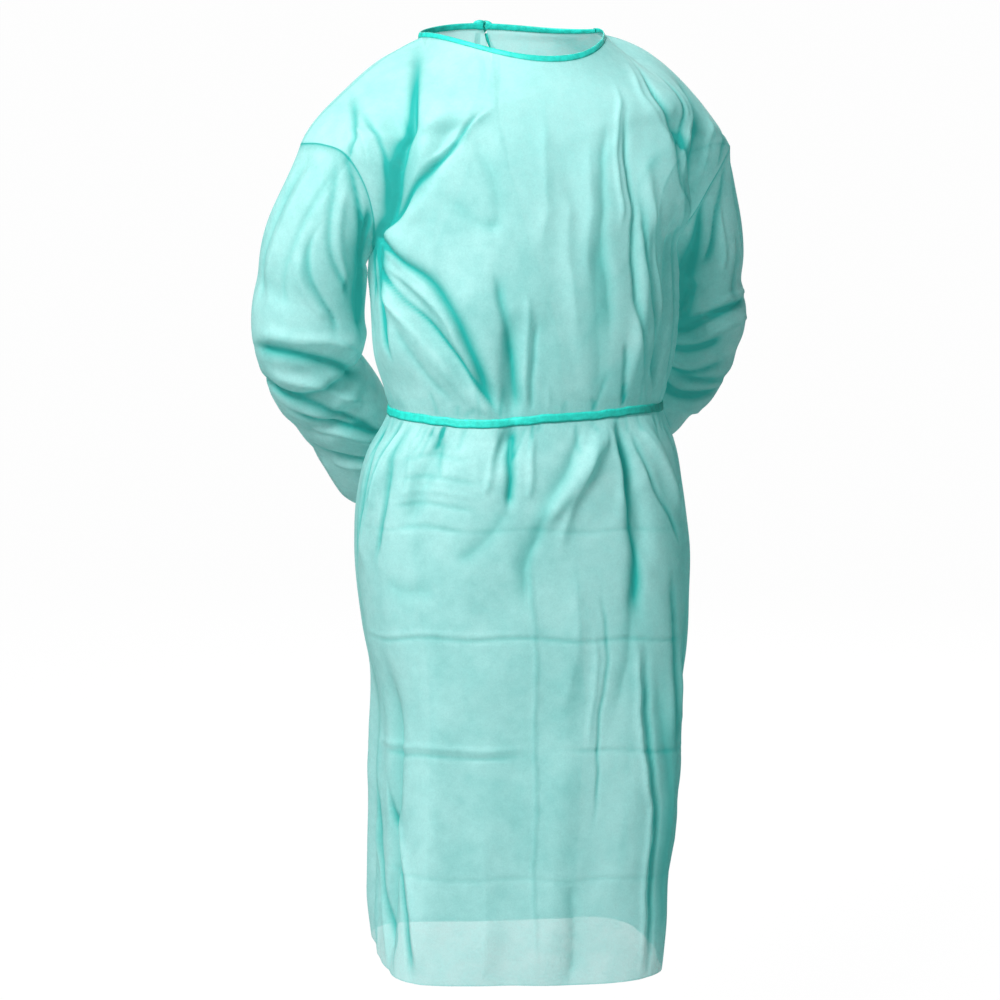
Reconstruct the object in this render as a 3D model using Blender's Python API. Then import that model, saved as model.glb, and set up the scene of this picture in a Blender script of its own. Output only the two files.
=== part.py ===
"""A thin isolation gown, filled out as it is worn, with both arms held behind the back.

Metres, +Z up. The front faces -Y and the left sleeve is at +X. The origin is the centre of the neck ring.
A place on the body is given by how far across its panel it is, from -1 at the right side seam or armhole
to 1 at the left one, and by its rise, which is its height on the skirt and runs on up the yoke to 0.
"""

import math
from typing import NamedTuple

import bmesh
import bpy
import numpy as np

# Cloth and tape
CLOTH = 0.0015
TAPE = 0.0018
SEAM = 0.0003
BINDING_WIDTH = 0.008
BELT_WIDTH = 0.010
BINDING_UP = 0.5
BINDING_IN = 1.2

# Neck ring
NECK_HALF_WIDTH = 0.112
NECK_SIDE_Y = 0.026
NECK_SIDE_Z = -0.009
NECK_FRONT_Y = -0.098
NECK_FRONT_Z = -0.040
NECK_BACK_Y = 0.106
NECK_BACK_Z = 0.006
NECK_SHARE = 0.5
NECK_BLEND = 0.15

# Shoulder seam, from the neck ring out over the arm to the top of the sleeve
SHOULDER_END = (0.265, 0.020, -0.132)
SHOULDER_START_SLOPE = -0.40
SHOULDER_START_PULL = 1.15
SHOULDER_END_SLOPE = -2.4
SHOULDER_END_PULL = 0.42
SHOULDER_SHIFT = 0.012
SHOULDER_SHIFT_IN = 0.35
SHOULDER_SHIFT_OUT = 0.25
SHOULDER_SHIFT_LOSS = 0.6
LEFT_SHOULDER_RAISE = 0.019
LEFT_SHOULDER_X = 0.170
LEFT_SHOULDER_REACH = 0.070
LEFT_SHOULDER_FROM = -0.14
LEFT_SHOULDER_RUN = 0.12

# Back lap and belt
LAP_SHARE = 0.34
LAP_START = -0.018
LAP_RUN = 0.40
LAP_EASE = 0.34
LAP_BLEND = 0.30
LAP_UNDER_EASE = 0.08
LAP_LIFT = 0.007
LAP_OPENING = 0.022
BACK_GAP_SHARE = 0.005
LAP_END_SHARE = 0.045
BELT_RISE = -0.442
BELT_PRESS = 0.014
BELT_FLATTENS = 0.85

# Sleeve
SLEEVE_RINGS = 20
SLEEVE_BLEND = 0.11
ARMHOLE_FADE = 1.5
SLEEVE_FOLD_FADE = 0.05
CUFF_RADIUS = 0.037
CUFF_LENGTH = 0.035
CUFF_WAIST = 0.96

# Ties
KNOT_WIDTH = 0.024
KNOT_HEIGHT = 0.016
KNOT_DEPTH = 0.011
KNOT_SIDES = 16
KNOT_ROWS = 9
KNOT_WRAP = 0.22
KNOT_WRAP_WIDTH = 0.28
KNOT_UNDER = 0.90
NECK_KNOT_STAND = 0.001
NECK_TAIL = 0.160
BELT_TAIL = 0.270
BELT_END_SHARE = 0.006
BELT_EASE = 0.0006
TAIL_ROWS = 14
TAIL_START_SHARE = 0.025
TAIL_LEAVES_KNOT = 0.18
TAIL_SPREAD = 0.07
TAIL_CURVE = 1.4
TAIL_SWAY = 0.004
TAIL_WAVES = 2.4
TAIL_STAND = 0.006
TAIL_DRIFT = 0.006
TAIL_BOW = 0.003
TAIL_TURN = 0.0012
TAIL_TURNS = 3.0

# Sheets that meet at an angle with a cosine above this run on smoothly
SMOOTH_COSINE = 0.3
BODY_MIDDLE = (0.0, 0.0, -0.3)
CREASE_DEGREES = 40.0

# Colours
CLOTH_GREEN = (0.36, 0.80, 0.72)
TAPE_GREEN = (0.07, 0.58, 0.46)


class Ring(NamedTuple):
    """A level section of the skirt and waist."""

    rise: float
    half_width: float
    front: float
    back: float
    shift: float
    square: float
    twist: float


class Yoke(NamedTuple):
    """A row across the chest or the upper back, from the middle to the armhole edge."""

    rise: float
    mid_y: float
    mid_z: float
    end_x: float
    end_y: float
    end_z: float
    turn: float


class Fold(NamedTuple):
    """A long soft ridge or trough, in degrees round the body from the centre front and in rise."""

    from_turn: float
    from_rise: float
    to_turn: float
    to_rise: float
    width: float
    depth: float


class Sag(NamedTuple):
    """A stretch of the body that hangs lower: its place, how far round and up it reaches, and its drop."""

    turn: float
    rise: float
    span: float
    reach: float
    drop: float


class Station(NamedTuple):
    """A section of a sleeve: its middle, and its radius out from the body and fore and aft."""

    x: float
    y: float
    z: float
    out: float
    fore: float


class SleeveFold(NamedTuple):
    """A crease round part of a sleeve: how far down, and round from its outer side towards the front."""

    along: float
    around: float
    length: float
    span: float
    depth: float


RINGS = (
    Ring(-1.110, 0.170, 0.134, 0.134, -0.002, 4.0, -13.0),
    Ring(-1.000, 0.171, 0.136, 0.136, 0.004, 3.6, -13.0),
    Ring(-0.900, 0.176, 0.138, 0.138, 0.010, 3.2, -12.0),
    Ring(-0.800, 0.182, 0.140, 0.140, 0.014, 2.8, -11.0),
    Ring(-0.700, 0.196, 0.141, 0.141, 0.009, 2.5, -9.0),
    Ring(-0.600, 0.202, 0.141, 0.139, 0.005, 2.3, -7.0),
    Ring(-0.540, 0.198, 0.139, 0.133, 0.004, 2.2, -5.0),
    Ring(-0.490, 0.187, 0.134, 0.124, 0.006, 2.2, -4.0),
    Ring(-0.458, 0.172, 0.126, 0.113, 0.009, 2.15, -3.0),
    Ring(-0.442, 0.167, 0.123, 0.110, 0.010, 2.1, -2.0),
    Ring(-0.424, 0.171, 0.126, 0.112, 0.010, 2.1, -2.0),
    Ring(-0.380, 0.182, 0.134, 0.117, 0.007, 2.15, -1.0),
    Ring(-0.330, 0.186, 0.139, 0.121, 0.007, 2.2, 0.0),
    Ring(-0.280, 0.187, 0.141, 0.123, 0.006, 2.2, 0.0),
    Ring(-0.250, 0.188, 0.141, 0.123, 0.004, 2.2, 0.0),
)

YOKE_FRONT = (
    Yoke(-0.200, -0.140, -0.205, 0.203, -0.028, -0.218, 76.0),
    Yoke(-0.150, -0.137, -0.158, 0.220, -0.045, -0.178, 60.0),
    Yoke(-0.100, -0.129, -0.112, 0.242, -0.043, -0.144, 50.0),
    Yoke(-0.050, -0.117, -0.074, 0.260, -0.015, -0.133, 48.0),
)

YOKE_BACK = (
    Yoke(-0.200, 0.125, -0.195, 0.203, 0.060, -0.220, 76.0),
    Yoke(-0.150, 0.126, -0.140, 0.221, 0.085, -0.180, 60.0),
    Yoke(-0.100, 0.122, -0.085, 0.243, 0.083, -0.146, 50.0),
    Yoke(-0.050, 0.112, -0.035, 0.261, 0.055, -0.134, 48.0),
)

YOKE_SQUARE = 2.2

FOLDS = (
    # Front: troughs from the neck to the underarms
    Fold(-58, -0.030, -80, -0.210, 0.020, -0.016),
    Fold(-42, -0.060, -68, -0.190, 0.012, -0.008),
    Fold(60, -0.030, 80, -0.210, 0.020, -0.015),
    Fold(46, -0.060, 62, -0.180, 0.012, -0.007),
    # Front: the fullness that stands over the right sleeve
    Fold(-70, -0.225, -72, -0.395, 0.040, 0.009),
    # Front: drag lines from the right underarm to the belt, and the pinch where the belt draws in
    Fold(-78, -0.245, -26, -0.430, 0.014, -0.009),
    Fold(-80, -0.280, -22, -0.455, 0.011, 0.006),
    Fold(-21, -0.330, -22, -0.500, 0.010, -0.011),
    Fold(34, -0.130, 30, -0.420, 0.011, 0.006),
    Fold(52, -0.200, 44, -0.425, 0.011, -0.008),
    # Front skirt: folds that fan out below the belt
    Fold(20, -0.455, -6, -0.570, 0.011, 0.008),
    Fold(26, -0.455, 34, -0.620, 0.012, -0.009),
    Fold(38, -0.455, 58, -0.570, 0.011, 0.007),
    Fold(-66, -0.455, -80, -0.620, 0.013, 0.008),
    Fold(-46, -0.455, -52, -0.570, 0.012, -0.007),
    # Front skirt: long folds to the hem
    Fold(-40, -0.740, -42, -1.120, 0.020, 0.006),
    Fold(-66, -0.740, -64, -1.120, 0.018, -0.015),
    Fold(-86, -0.800, -86, -1.120, 0.014, 0.007),
    Fold(50, -0.740, 54, -1.120, 0.018, 0.008),
    Fold(68, -0.760, 70, -1.120, 0.015, -0.011),
    Fold(6, -0.820, 4, -1.120, 0.030, 0.006),
    # Back: gathers at the belt and long folds to the hem
    Fold(128, -0.250, 152, -0.430, 0.015, -0.009),
    Fold(-128, -0.250, -152, -0.430, 0.015, -0.009),
    Fold(148, -0.465, 142, -0.720, 0.017, 0.010),
    Fold(-146, -0.465, -140, -0.700, 0.017, 0.010),
    Fold(122, -0.470, 116, -1.120, 0.020, -0.012),
    Fold(-120, -0.470, -128, -1.120, 0.020, -0.012),
    Fold(146, -0.780, 142, -1.120, 0.022, 0.012),
    Fold(-104, -0.760, -108, -1.120, 0.024, 0.013),
)

SAGS = (
    # The belt and the cloth by it dip at the right of the front, and the hem at the left.
    Sag(-38, BELT_RISE, 40, 0.10, 0.009),
    Sag(34, -1.120, 45, 0.16, 0.006),
    Sag(-112, -1.120, 34, 0.12, -0.014),
)

LEFT_SLEEVE = (
    Station(0.2510, 0.0430, -0.250, 0.0600, 0.0650),
    Station(0.2600, 0.0560, -0.300, 0.0610, 0.0650),
    Station(0.2680, 0.0700, -0.350, 0.0620, 0.0630),
    Station(0.2620, 0.0950, -0.402, 0.0600, 0.0610),
    Station(0.2260, 0.1300, -0.450, 0.0580, 0.0590),
    Station(0.1700, 0.1650, -0.494, 0.0540, 0.0560),
    Station(0.1150, 0.1950, -0.530, 0.0500, 0.0520),
    Station(0.0850, 0.2130, -0.552, CUFF_RADIUS, CUFF_RADIUS),
)

RIGHT_SLEEVE = (
    Station(-0.2340, 0.0500, -0.252, 0.0640, 0.0680),
    Station(-0.2370, 0.0680, -0.300, 0.0660, 0.0680),
    Station(-0.2380, 0.0820, -0.350, 0.0640, 0.0650),
    Station(-0.2190, 0.1060, -0.400, 0.0600, 0.0610),
    Station(-0.1780, 0.1370, -0.446, 0.0570, 0.0590),
    Station(-0.1430, 0.1680, -0.492, 0.0550, 0.0560),
    Station(-0.1080, 0.1960, -0.534, 0.0520, 0.0520),
    Station(-0.0850, 0.2130, -0.558, CUFF_RADIUS, CUFF_RADIUS),
)

SLEEVE_FOLDS = (
    SleeveFold(0.235, 150.0, 0.016, 70.0, -0.012),
    SleeveFold(0.200, 100.0, 0.014, 60.0, -0.007),
    SleeveFold(0.275, 100.0, 0.014, 60.0, -0.008),
    SleeveFold(0.340, 80.0, 0.018, 60.0, -0.006),
    SleeveFold(0.120, 40.0, 0.020, 50.0, -0.005),
)

# Metres of cloth for each degree round the body, which gives folds their width
ARC_PER_DEGREE = 0.0030
YOKE_FADE = 0.045

# The way out of the body, along which folds stand
OUT_SIDEWAYS = 0.7
OUT_UPWARD = 0.9
OUT_UPWARD_FROM = -0.27

# The ends of a fold run out softly: how far past its own ends, and over what share of its length
FOLD_PAST = 0.08
FOLD_END = 0.30

# Grid of the panels
SHOULDER_COLUMNS = 10
FRONT_NECK_COLUMNS = 10
BACK_NECK_COLUMNS = 6
LAP_COLUMNS = 4
SKIRT_RISES = (
    -1.110, -1.068, -1.015, -0.960, -0.905, -0.850, -0.795, -0.740, -0.690, -0.640,
    -0.595, -0.555, -0.520, -0.490, -0.465, BELT_RISE - BELT_WIDTH / 2, BELT_RISE + BELT_WIDTH / 2,
    -0.415, -0.390, -0.360, -0.325, -0.288,
)
YOKE_RISES = (-0.250, -0.222, -0.194, -0.166, -0.138, -0.110, -0.082, -0.055, -0.027, 0.0)


def clear_scene():
    for thing in list(bpy.data.objects):
        bpy.data.objects.remove(thing, do_unlink=True)


def ease(value):
    """0 below 0, 1 above 1 and a smooth step between them."""
    step = np.clip(value, 0.0, 1.0)
    return step * step * (3.0 - 2.0 * step)


def unit(vectors):
    return vectors / np.linalg.norm(vectors, axis=-1, keepdims=True)


def spline(knots, values, places):
    """A smooth curve through values at rising knots, read at each place. Values may be numbers or grids."""
    knots = np.asarray(knots, float)
    values = np.asarray(values, float)
    steps = np.diff(knots)
    slopes = np.diff(values, axis=0) / steps.reshape((-1,) + (1,) * (values.ndim - 1))
    tangents = np.empty_like(values)
    tangents[0] = slopes[0]
    tangents[-1] = slopes[-1]
    for i in range(1, len(knots) - 1):
        tangents[i] = (slopes[i - 1] * steps[i] + slopes[i] * steps[i - 1]) / (steps[i - 1] + steps[i])
    found = []
    for place in np.atleast_1d(places):
        i = int(np.clip(np.searchsorted(knots, place) - 1, 0, len(steps) - 1))
        share = (place - knots[i]) / steps[i]
        rest = 1.0 - share
        found.append(
            (1 + 2 * share) * rest**2 * values[i]
            + share**2 * (3 - 2 * share) * values[i + 1]
            + steps[i] * share * rest * (rest * tangents[i] - share * tangents[i + 1])
        )
    return np.array(found)


def rounded(turn, square):
    """Sine and cosine of an angle, pushed out towards a box as square rises above 2."""
    sine = np.sin(turn)
    cosine = np.cos(turn)
    push = (np.abs(sine) ** square + np.abs(cosine) ** square) ** (-1.0 / square)
    return sine * push, cosine * push


def row_across(across, middle, end, turn_degrees, square, shift=0.0):
    """One row of a panel, from its middle point round to its end point at both sides."""
    turn = math.radians(turn_degrees)
    sine, cosine = rounded(across * turn, square)
    end_sine, end_cosine = rounded(np.array(turn), square)
    swing = (1.0 - cosine) / (1.0 - end_cosine)
    x = shift + end[0] * sine / end_sine
    y = middle[0] + (end[1] - middle[0]) * swing
    z = middle[1] + (end[2] - middle[1]) * swing
    return np.stack([x, y, z], axis=-1)


def ring_row(ring, across, facing):
    depth = -ring.front if facing < 0 else ring.back
    end = (ring.half_width, 0.0, ring.rise)
    row = row_across(across, (depth, ring.rise), end, 90.0, ring.square)
    twist = math.radians(ring.twist)
    x = row[:, 0] * math.cos(twist) - row[:, 1] * math.sin(twist) + ring.shift
    y = row[:, 0] * math.sin(twist) + row[:, 1] * math.cos(twist)
    return np.stack([x, y, row[:, 2]], axis=-1)


def yoke_row(yoke, across):
    end = (yoke.end_x, yoke.end_y, yoke.end_z)
    return row_across(across, (yoke.mid_y, yoke.mid_z), end, yoke.turn, YOKE_SQUARE, SHOULDER_SHIFT)


def shoulder_seam(share):
    """The seam from the neck ring, where share is 0, over the shoulder to the top of the sleeve."""
    start = np.array([NECK_HALF_WIDTH, NECK_SIDE_Y, NECK_SIDE_Z])
    end = np.array(SHOULDER_END)
    width = end[0] - start[0]
    leave = np.array([width, 0.0, SHOULDER_START_SLOPE * width]) * SHOULDER_START_PULL
    arrive = np.array([width, 0.0, SHOULDER_END_SLOPE * width]) * SHOULDER_END_PULL
    s = np.asarray(share)[..., None]
    r = 1.0 - s
    return (1 + 2 * s) * r**2 * start + s**2 * (3 - 2 * s) * end + s * r * (r * leave - s * arrive)


def top_row(across, facing):
    """The neck edge in the middle and the two shoulder seams beyond it."""
    size = np.abs(across)
    side = np.sign(across)
    turn = np.minimum(size / NECK_SHARE, 1.0) * math.pi / 2
    mid_y, mid_z = (NECK_FRONT_Y, NECK_FRONT_Z) if facing < 0 else (NECK_BACK_Y, NECK_BACK_Z)
    neck = np.stack(
        [
            NECK_HALF_WIDTH * np.sin(turn),
            NECK_SIDE_Y + (mid_y - NECK_SIDE_Y) * np.cos(turn),
            NECK_SIDE_Z + (mid_z - NECK_SIDE_Z) * np.cos(turn) ** 2,
        ],
        axis=-1,
    )
    seam = shoulder_seam(np.clip((size - NECK_SHARE) / (1.0 - NECK_SHARE), 0.0, 1.0))
    row = np.where((size > NECK_SHARE)[..., None], seam, neck)
    row[..., 0] *= np.where(side == 0, 1.0, side)
    lost = SHOULDER_SHIFT_LOSS * ease((size - 1.0 + SHOULDER_SHIFT_OUT) / SHOULDER_SHIFT_OUT)
    row[..., 0] += SHOULDER_SHIFT * ease((size - NECK_SHARE) / SHOULDER_SHIFT_IN) * (1.0 - lost)
    return row


def body_rows(across, facing):
    """Every row that shapes the front, facing -1, or the back, facing 1, with its rise."""
    yokes = YOKE_FRONT if facing < 0 else YOKE_BACK
    others = YOKE_BACK if facing < 0 else YOKE_FRONT
    rows = [ring_row(ring, across, facing) for ring in RINGS]
    rows += [yoke_row(yoke, across) for yoke in yokes]
    top = top_row(across, facing)
    over = ease((np.abs(across) - NECK_SHARE) / NECK_BLEND)[:, None]
    beyond = over * yoke_row(others[-1], across) + (1.0 - over) * (2 * top - rows[-1])
    rises = [ring.rise for ring in RINGS] + [yoke.rise for yoke in yokes]
    return rises + [0.0, -yokes[-1].rise], rows + [top, beyond]


def relief(turn, rise):
    """How far the folds stand out at an angle in degrees and a rise."""
    height = np.zeros_like(turn)
    for fold in FOLDS:
        start = np.array([fold.from_turn * ARC_PER_DEGREE, fold.from_rise])
        run = np.array([fold.to_turn * ARC_PER_DEGREE, fold.to_rise]) - start
        length = float(np.hypot(*run))
        run /= length
        wrapped = (turn - fold.from_turn + 180.0) % 360.0 - 180.0
        dx = wrapped * ARC_PER_DEGREE
        dz = rise - start[1]
        along = (dx * run[0] + dz * run[1]) / length
        off = (dx * run[1] - dz * run[0]) / fold.width
        ends = ease((along + FOLD_PAST) / FOLD_END) * ease((1.0 + FOLD_PAST - along) / FOLD_END)
        height += fold.depth * ends * np.exp(-off * off)
    pressed = 1.0 - BELT_FLATTENS * np.exp(-(((rise - BELT_RISE) / BELT_PRESS) ** 2))
    return height * pressed * ease(-rise / YOKE_FADE)


def sagging(turn, rise):
    """How far the cloth hangs below its level at an angle in degrees and a rise."""
    drop = np.zeros_like(turn)
    for sag in SAGS:
        round_by = ((turn - sag.turn + 180.0) % 360.0 - 180.0) / sag.span
        drop += sag.drop * np.exp(-round_by * round_by - ((rise - sag.rise) / sag.reach) ** 2)
    return drop


def outward(points):
    """The way out of the body: level on the skirt, and turning up towards the shoulders."""
    way = points * np.array([OUT_SIDEWAYS, 1.0, 0.0])
    way[..., 2] = OUT_UPWARD * np.clip(points[..., 2] - OUT_UPWARD_FROM, 0.0, None)
    return unit(way)


def lap_share(rise):
    """How far past the centre back each back panel runs."""
    return LAP_SHARE * ease((LAP_START - rise) / LAP_RUN)


def body_points(across, rise, facing, side=0):
    """Points of the body along one row. A back panel has side 1 on the left, which laps over the right."""
    rises, rows = body_rows(across, facing)
    points = spline(rises, rows, rise)[0]
    reach = (points[:, 0] - LEFT_SHOULDER_X) / LEFT_SHOULDER_REACH
    near_top = ease((rise - LEFT_SHOULDER_FROM) / LEFT_SHOULDER_RUN)
    points[:, 2] += LEFT_SHOULDER_RAISE * np.exp(-reach * reach) * near_top
    turn = across * 90.0 if facing < 0 else 180.0 - across * 90.0
    lift = relief(turn, np.full_like(turn, rise))
    if side:
        near = ease((LAP_SHARE + LAP_EASE - side * across) / LAP_BLEND)
        lift += side * LAP_LIFT / 2 * near * ease(-rise / LAP_OPENING)
    points = points + outward(points) * lift[:, None]
    points[:, 2] -= sagging(turn, rise)
    return points


def front_columns():
    neck = np.linspace(0.0, NECK_SHARE, FRONT_NECK_COLUMNS + 1)
    shoulder = np.linspace(NECK_SHARE, 1.0, SHOULDER_COLUMNS + 1)[1:]
    half = np.concatenate([neck, shoulder])
    return np.concatenate([-half[:0:-1], half])


def back_columns(rise):
    """Columns of the left back panel, from its lapped edge to the side."""
    edge = BACK_GAP_SHARE - lap_share(rise)
    lap = np.linspace(edge, LAP_END_SHARE, LAP_COLUMNS + 1)[:-1]
    neck = np.linspace(LAP_END_SHARE, NECK_SHARE, BACK_NECK_COLUMNS + 1)
    shoulder = np.linspace(NECK_SHARE, 1.0, SHOULDER_COLUMNS + 1)[1:]
    return np.concatenate([lap, neck, shoulder])


def front_grid():
    return np.array([body_points(front_columns(), rise, -1) for rise in SKIRT_RISES + YOKE_RISES])


def back_grid(side):
    """The left back panel for side 1, or the right one for side -1, with its columns in rising x."""
    rows = []
    for rise in SKIRT_RISES + YOKE_RISES:
        columns = back_columns(rise)
        across = columns if side > 0 else -columns[::-1]
        rows.append(body_points(across, rise, 1, side))
    return np.array(rows)


def armhole(front, back, side):
    """The closed edge that a sleeve joins, from the underarm up the front and down the back."""
    first = len(SKIRT_RISES)
    column = -1 if side > 0 else 0
    up = front[first:, column]
    down = back[first:, column][::-1]
    return np.concatenate([up, down[1:-1]])


def sleeve_grid(loop, side):
    """Rings from the armhole to the cuff. Each point keeps its angle, and the armhole's shape fades out."""
    bottom = loop[0]
    top = loop[len(YOKE_RISES) - 1]
    centre = (bottom + top) / 2
    out = unit(top - bottom)
    ahead = unit(np.cross(np.array([0.0, 1.0, 0.0]), out)) * side
    fore = np.cross(out, ahead)
    if fore[1] > 0:
        fore = -fore
    rel = loop - centre
    angle = np.arctan2(rel @ fore, rel @ out)
    radius = np.linalg.norm(top - bottom) / 2
    shape = centre + radius * (np.cos(angle)[:, None] * out + np.sin(angle)[:, None] * fore)
    odd = loop - shape

    stations = LEFT_SLEEVE if side > 0 else RIGHT_SLEEVE
    middle = np.array([centre] + [(s.x, s.y, s.z) for s in stations])
    radii = np.array([(radius, radius)] + [(s.out, s.fore) for s in stations])
    knots = np.concatenate([[0.0], np.cumsum(np.linalg.norm(np.diff(middle, axis=0), axis=1))])
    places = np.linspace(0.0, knots[-1], SLEEVE_RINGS + 1)
    centres = spline(knots, middle, places)
    sizes = spline(knots, radii, places)
    tangents = unit(np.gradient(centres, axis=0))

    rings = []
    for place, at, size, tangent in zip(places, centres, sizes, tangents):
        turned = float(ease(place / SLEEVE_BLEND))
        heading = unit(ahead * (1 - turned) + tangent * turned)
        out = unit(out - heading * (out @ heading))
        fore = unit(fore - heading * (fore @ heading) - out * (fore @ out))
        dent = sleeve_relief(place, angle)
        ring = (
            at
            + ((size[0] + dent) * np.cos(angle))[:, None] * out
            + ((size[1] + dent) * np.sin(angle))[:, None] * fore
            + odd * (1 - turned) ** ARMHOLE_FADE
        )
        rings.append(ring)
    return np.array(rings), ahead, tangents[-1], centres[-1]


def sleeve_relief(place, angle):
    depth = np.zeros_like(angle)
    for fold in SLEEVE_FOLDS:
        off = (np.degrees(angle) - fold.around + 180.0) % 360.0 - 180.0
        depth += fold.depth * np.exp(-((place - fold.along) / fold.length) ** 2 - (off / fold.span) ** 2)
    return depth * ease(place / SLEEVE_FOLD_FADE)


def cuff_grid(ring_end, tangent, centre):
    """A short gathered tube that carries on from the sleeve's last ring."""
    rows = []
    rel = ring_end - centre
    rel -= np.outer(rel @ tangent, tangent)
    for share, scale in ((0.0, 1.0), (0.12, CUFF_WAIST), (0.88, CUFF_WAIST), (1.0, 1.0)):
        rows.append(centre + rel * scale + tangent * (SEAM + CUFF_LENGTH * share))
    return np.array(rows)


def face_normals_at_points(grid, closed):
    """Area-weighted normals at each point of a grid whose rows run up and whose columns run across."""
    points = np.concatenate([grid, grid[:, :1]], axis=1) if closed else grid
    a, b = points[:-1, :-1], points[:-1, 1:]
    c, d = points[1:, 1:], points[1:, :-1]
    normal = np.cross(c - a, d - b)
    total = np.zeros_like(points)
    for rows, columns in ((slice(None, -1), slice(None, -1)), (slice(None, -1), slice(1, None)),
                          (slice(1, None), slice(1, None)), (slice(1, None), slice(None, -1))):
        total[rows, columns] += normal
    if closed:
        total[:, 0] += total[:, -1]
        total = total[:, :-1]
    return total


def shared_normals(grids, closed):
    """Unit normals out of the garment. Sheets that meet smoothly share one, so their walls stay parallel."""
    own = {}
    for name, grid in grids.items():
        normals = face_normals_at_points(grid, closed[name])
        centre = grid.mean(axis=1, keepdims=True) if closed[name] else np.array(BODY_MIDDLE)
        if np.sum(normals * (grid - centre)) < 0:
            normals = -normals
        own[name] = normals
    meeting = {}
    for name, grid in grids.items():
        for key, normal in zip(map(tuple, np.round(grid.reshape(-1, 3), 5)), own[name].reshape(-1, 3)):
            meeting.setdefault(key, []).append(normal)
    shared = {}
    for name, grid in grids.items():
        flat = own[name].reshape(-1, 3).copy()
        for i, key in enumerate(map(tuple, np.round(grid.reshape(-1, 3), 5))):
            mine = flat[i].copy()
            if len(meeting[key]) > 1:
                near = [other for other in meeting[key] if unit(other) @ unit(mine) > SMOOTH_COSINE]
                flat[i] = np.sum(near, axis=0)
        shared[name] = unit(flat).reshape(grid.shape)
    return shared


def pulled(grid, row=None, column=None, part=slice(None), gap=SEAM / 2):
    """Draws one edge of a grid back from its seam by half the gap."""
    if row is not None:
        inner = grid[row + (1 if row == 0 else -1), part]
        grid[row, part] += unit(inner - grid[row, part]) * gap
    if column is not None:
        inner = grid[part, column + (1 if column == 0 else -1)]
        grid[part, column] += unit(inner - grid[part, column]) * gap


def walls(outer, inner, closed):
    """Vertices and faces of the closed wall between two grids."""
    rows, columns = outer.shape[:2]
    count = rows * columns
    vertices = np.concatenate([outer.reshape(-1, 3), inner.reshape(-1, 3)])
    faces = []
    last = columns if closed else columns - 1
    for i in range(rows - 1):
        for j in range(last):
            k = (j + 1) % columns
            a, b = i * columns + j, i * columns + k
            c, d = b + columns, a + columns
            faces.append((a, b, c, d))
            faces.append((d + count, c + count, b + count, a + count))
    for j in range(last):
        k = (j + 1) % columns
        faces.append((k, j, j + count, k + count))
        a, b = (rows - 1) * columns + j, (rows - 1) * columns + k
        faces.append((a, b, b + count, a + count))
    if not closed:
        for i in range(rows - 1):
            a, d = i * columns, (i + 1) * columns
            faces.append((a, d, d + count, a + count))
            b, c = a + columns - 1, d + columns - 1
            faces.append((c, b, b + count, c + count))
    return vertices, faces


def along_top(grid):
    """The way the cloth runs at its top edge, smoothed so that the binding stands on it evenly."""
    way = unit(grid[-1] - grid[-2])
    way[1:-1] = unit(way[:-2] + way[1:-1] * 2 + way[2:])
    return way


def neck_edge(front, backs):
    """The neck edge's points and the way up from each, from the centre back round the front to the back."""
    left = slice(LAP_COLUMNS, LAP_COLUMNS + BACK_NECK_COLUMNS + 1)
    right = slice(SHOULDER_COLUMNS, SHOULDER_COLUMNS + BACK_NECK_COLUMNS + 1)
    middle = slice(SHOULDER_COLUMNS, SHOULDER_COLUMNS + 2 * FRONT_NECK_COLUMNS + 1)
    points = [backs[-1][-1][right][::-1], front[-1][middle][1:-1], backs[1][-1][left][::-1]]
    back_ways = {side: along_top(backs[side]) for side in (-1, 1)}
    ways = [back_ways[-1][right][::-1], along_top(front)[middle][1:-1], back_ways[1][left][::-1]]
    return np.concatenate(points), np.concatenate(ways)


def binding_grid(front, backs):
    """A band that carries the neck up by the width of the binding."""
    points, ways = neck_edge(front, backs)
    up = unit(ways + np.array([0.0, 0.0, BINDING_UP]))
    inward = -points * np.array([1.0, 1.0, 0.0]) * BINDING_IN
    lean = unit(up + inward)
    rises = (0.0, 0.5, 1.0)
    rows = [points + ways * SEAM + (ways * (1 - r) + lean * r) * BINDING_WIDTH * r for r in rises]
    return np.array(rows)


def on_back(across, rise, out):
    """Points over the closed back at one rise, standing out from the lapped panel."""
    across = np.atleast_1d(np.asarray(across, float))
    points = body_points(across, rise, 1)
    under = ease((LAP_SHARE + LAP_EASE + LAP_UNDER_EASE + across) / (LAP_BLEND + LAP_UNDER_EASE))
    lift = LAP_LIFT / 2 * under * ease((LAP_SHARE + LAP_EASE - across) / LAP_BLEND)
    return points + outward(points) * (lift + out)[:, None]


def belt_grid(front, normals):
    """The belt's outer face, from the centre back round the right side and the front to the centre back."""
    low = SKIRT_RISES.index(BELT_RISE - BELT_WIDTH / 2)
    columns = back_columns(BELT_RISE)
    half = np.concatenate([[BELT_END_SHARE], columns[columns > LAP_END_SHARE / 2]])
    rows = []
    for row in (low, low + 1):
        middle = front[row][1:-1] + normals["front"][row][1:-1] * (SEAM + TAPE)
        back = on_back(np.concatenate([-half, half]), SKIRT_RISES[row], SEAM + TAPE + BELT_EASE)
        rows.append(np.concatenate([back[: len(half)], middle, back[len(half):][::-1]]))
    return np.array(rows)


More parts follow.
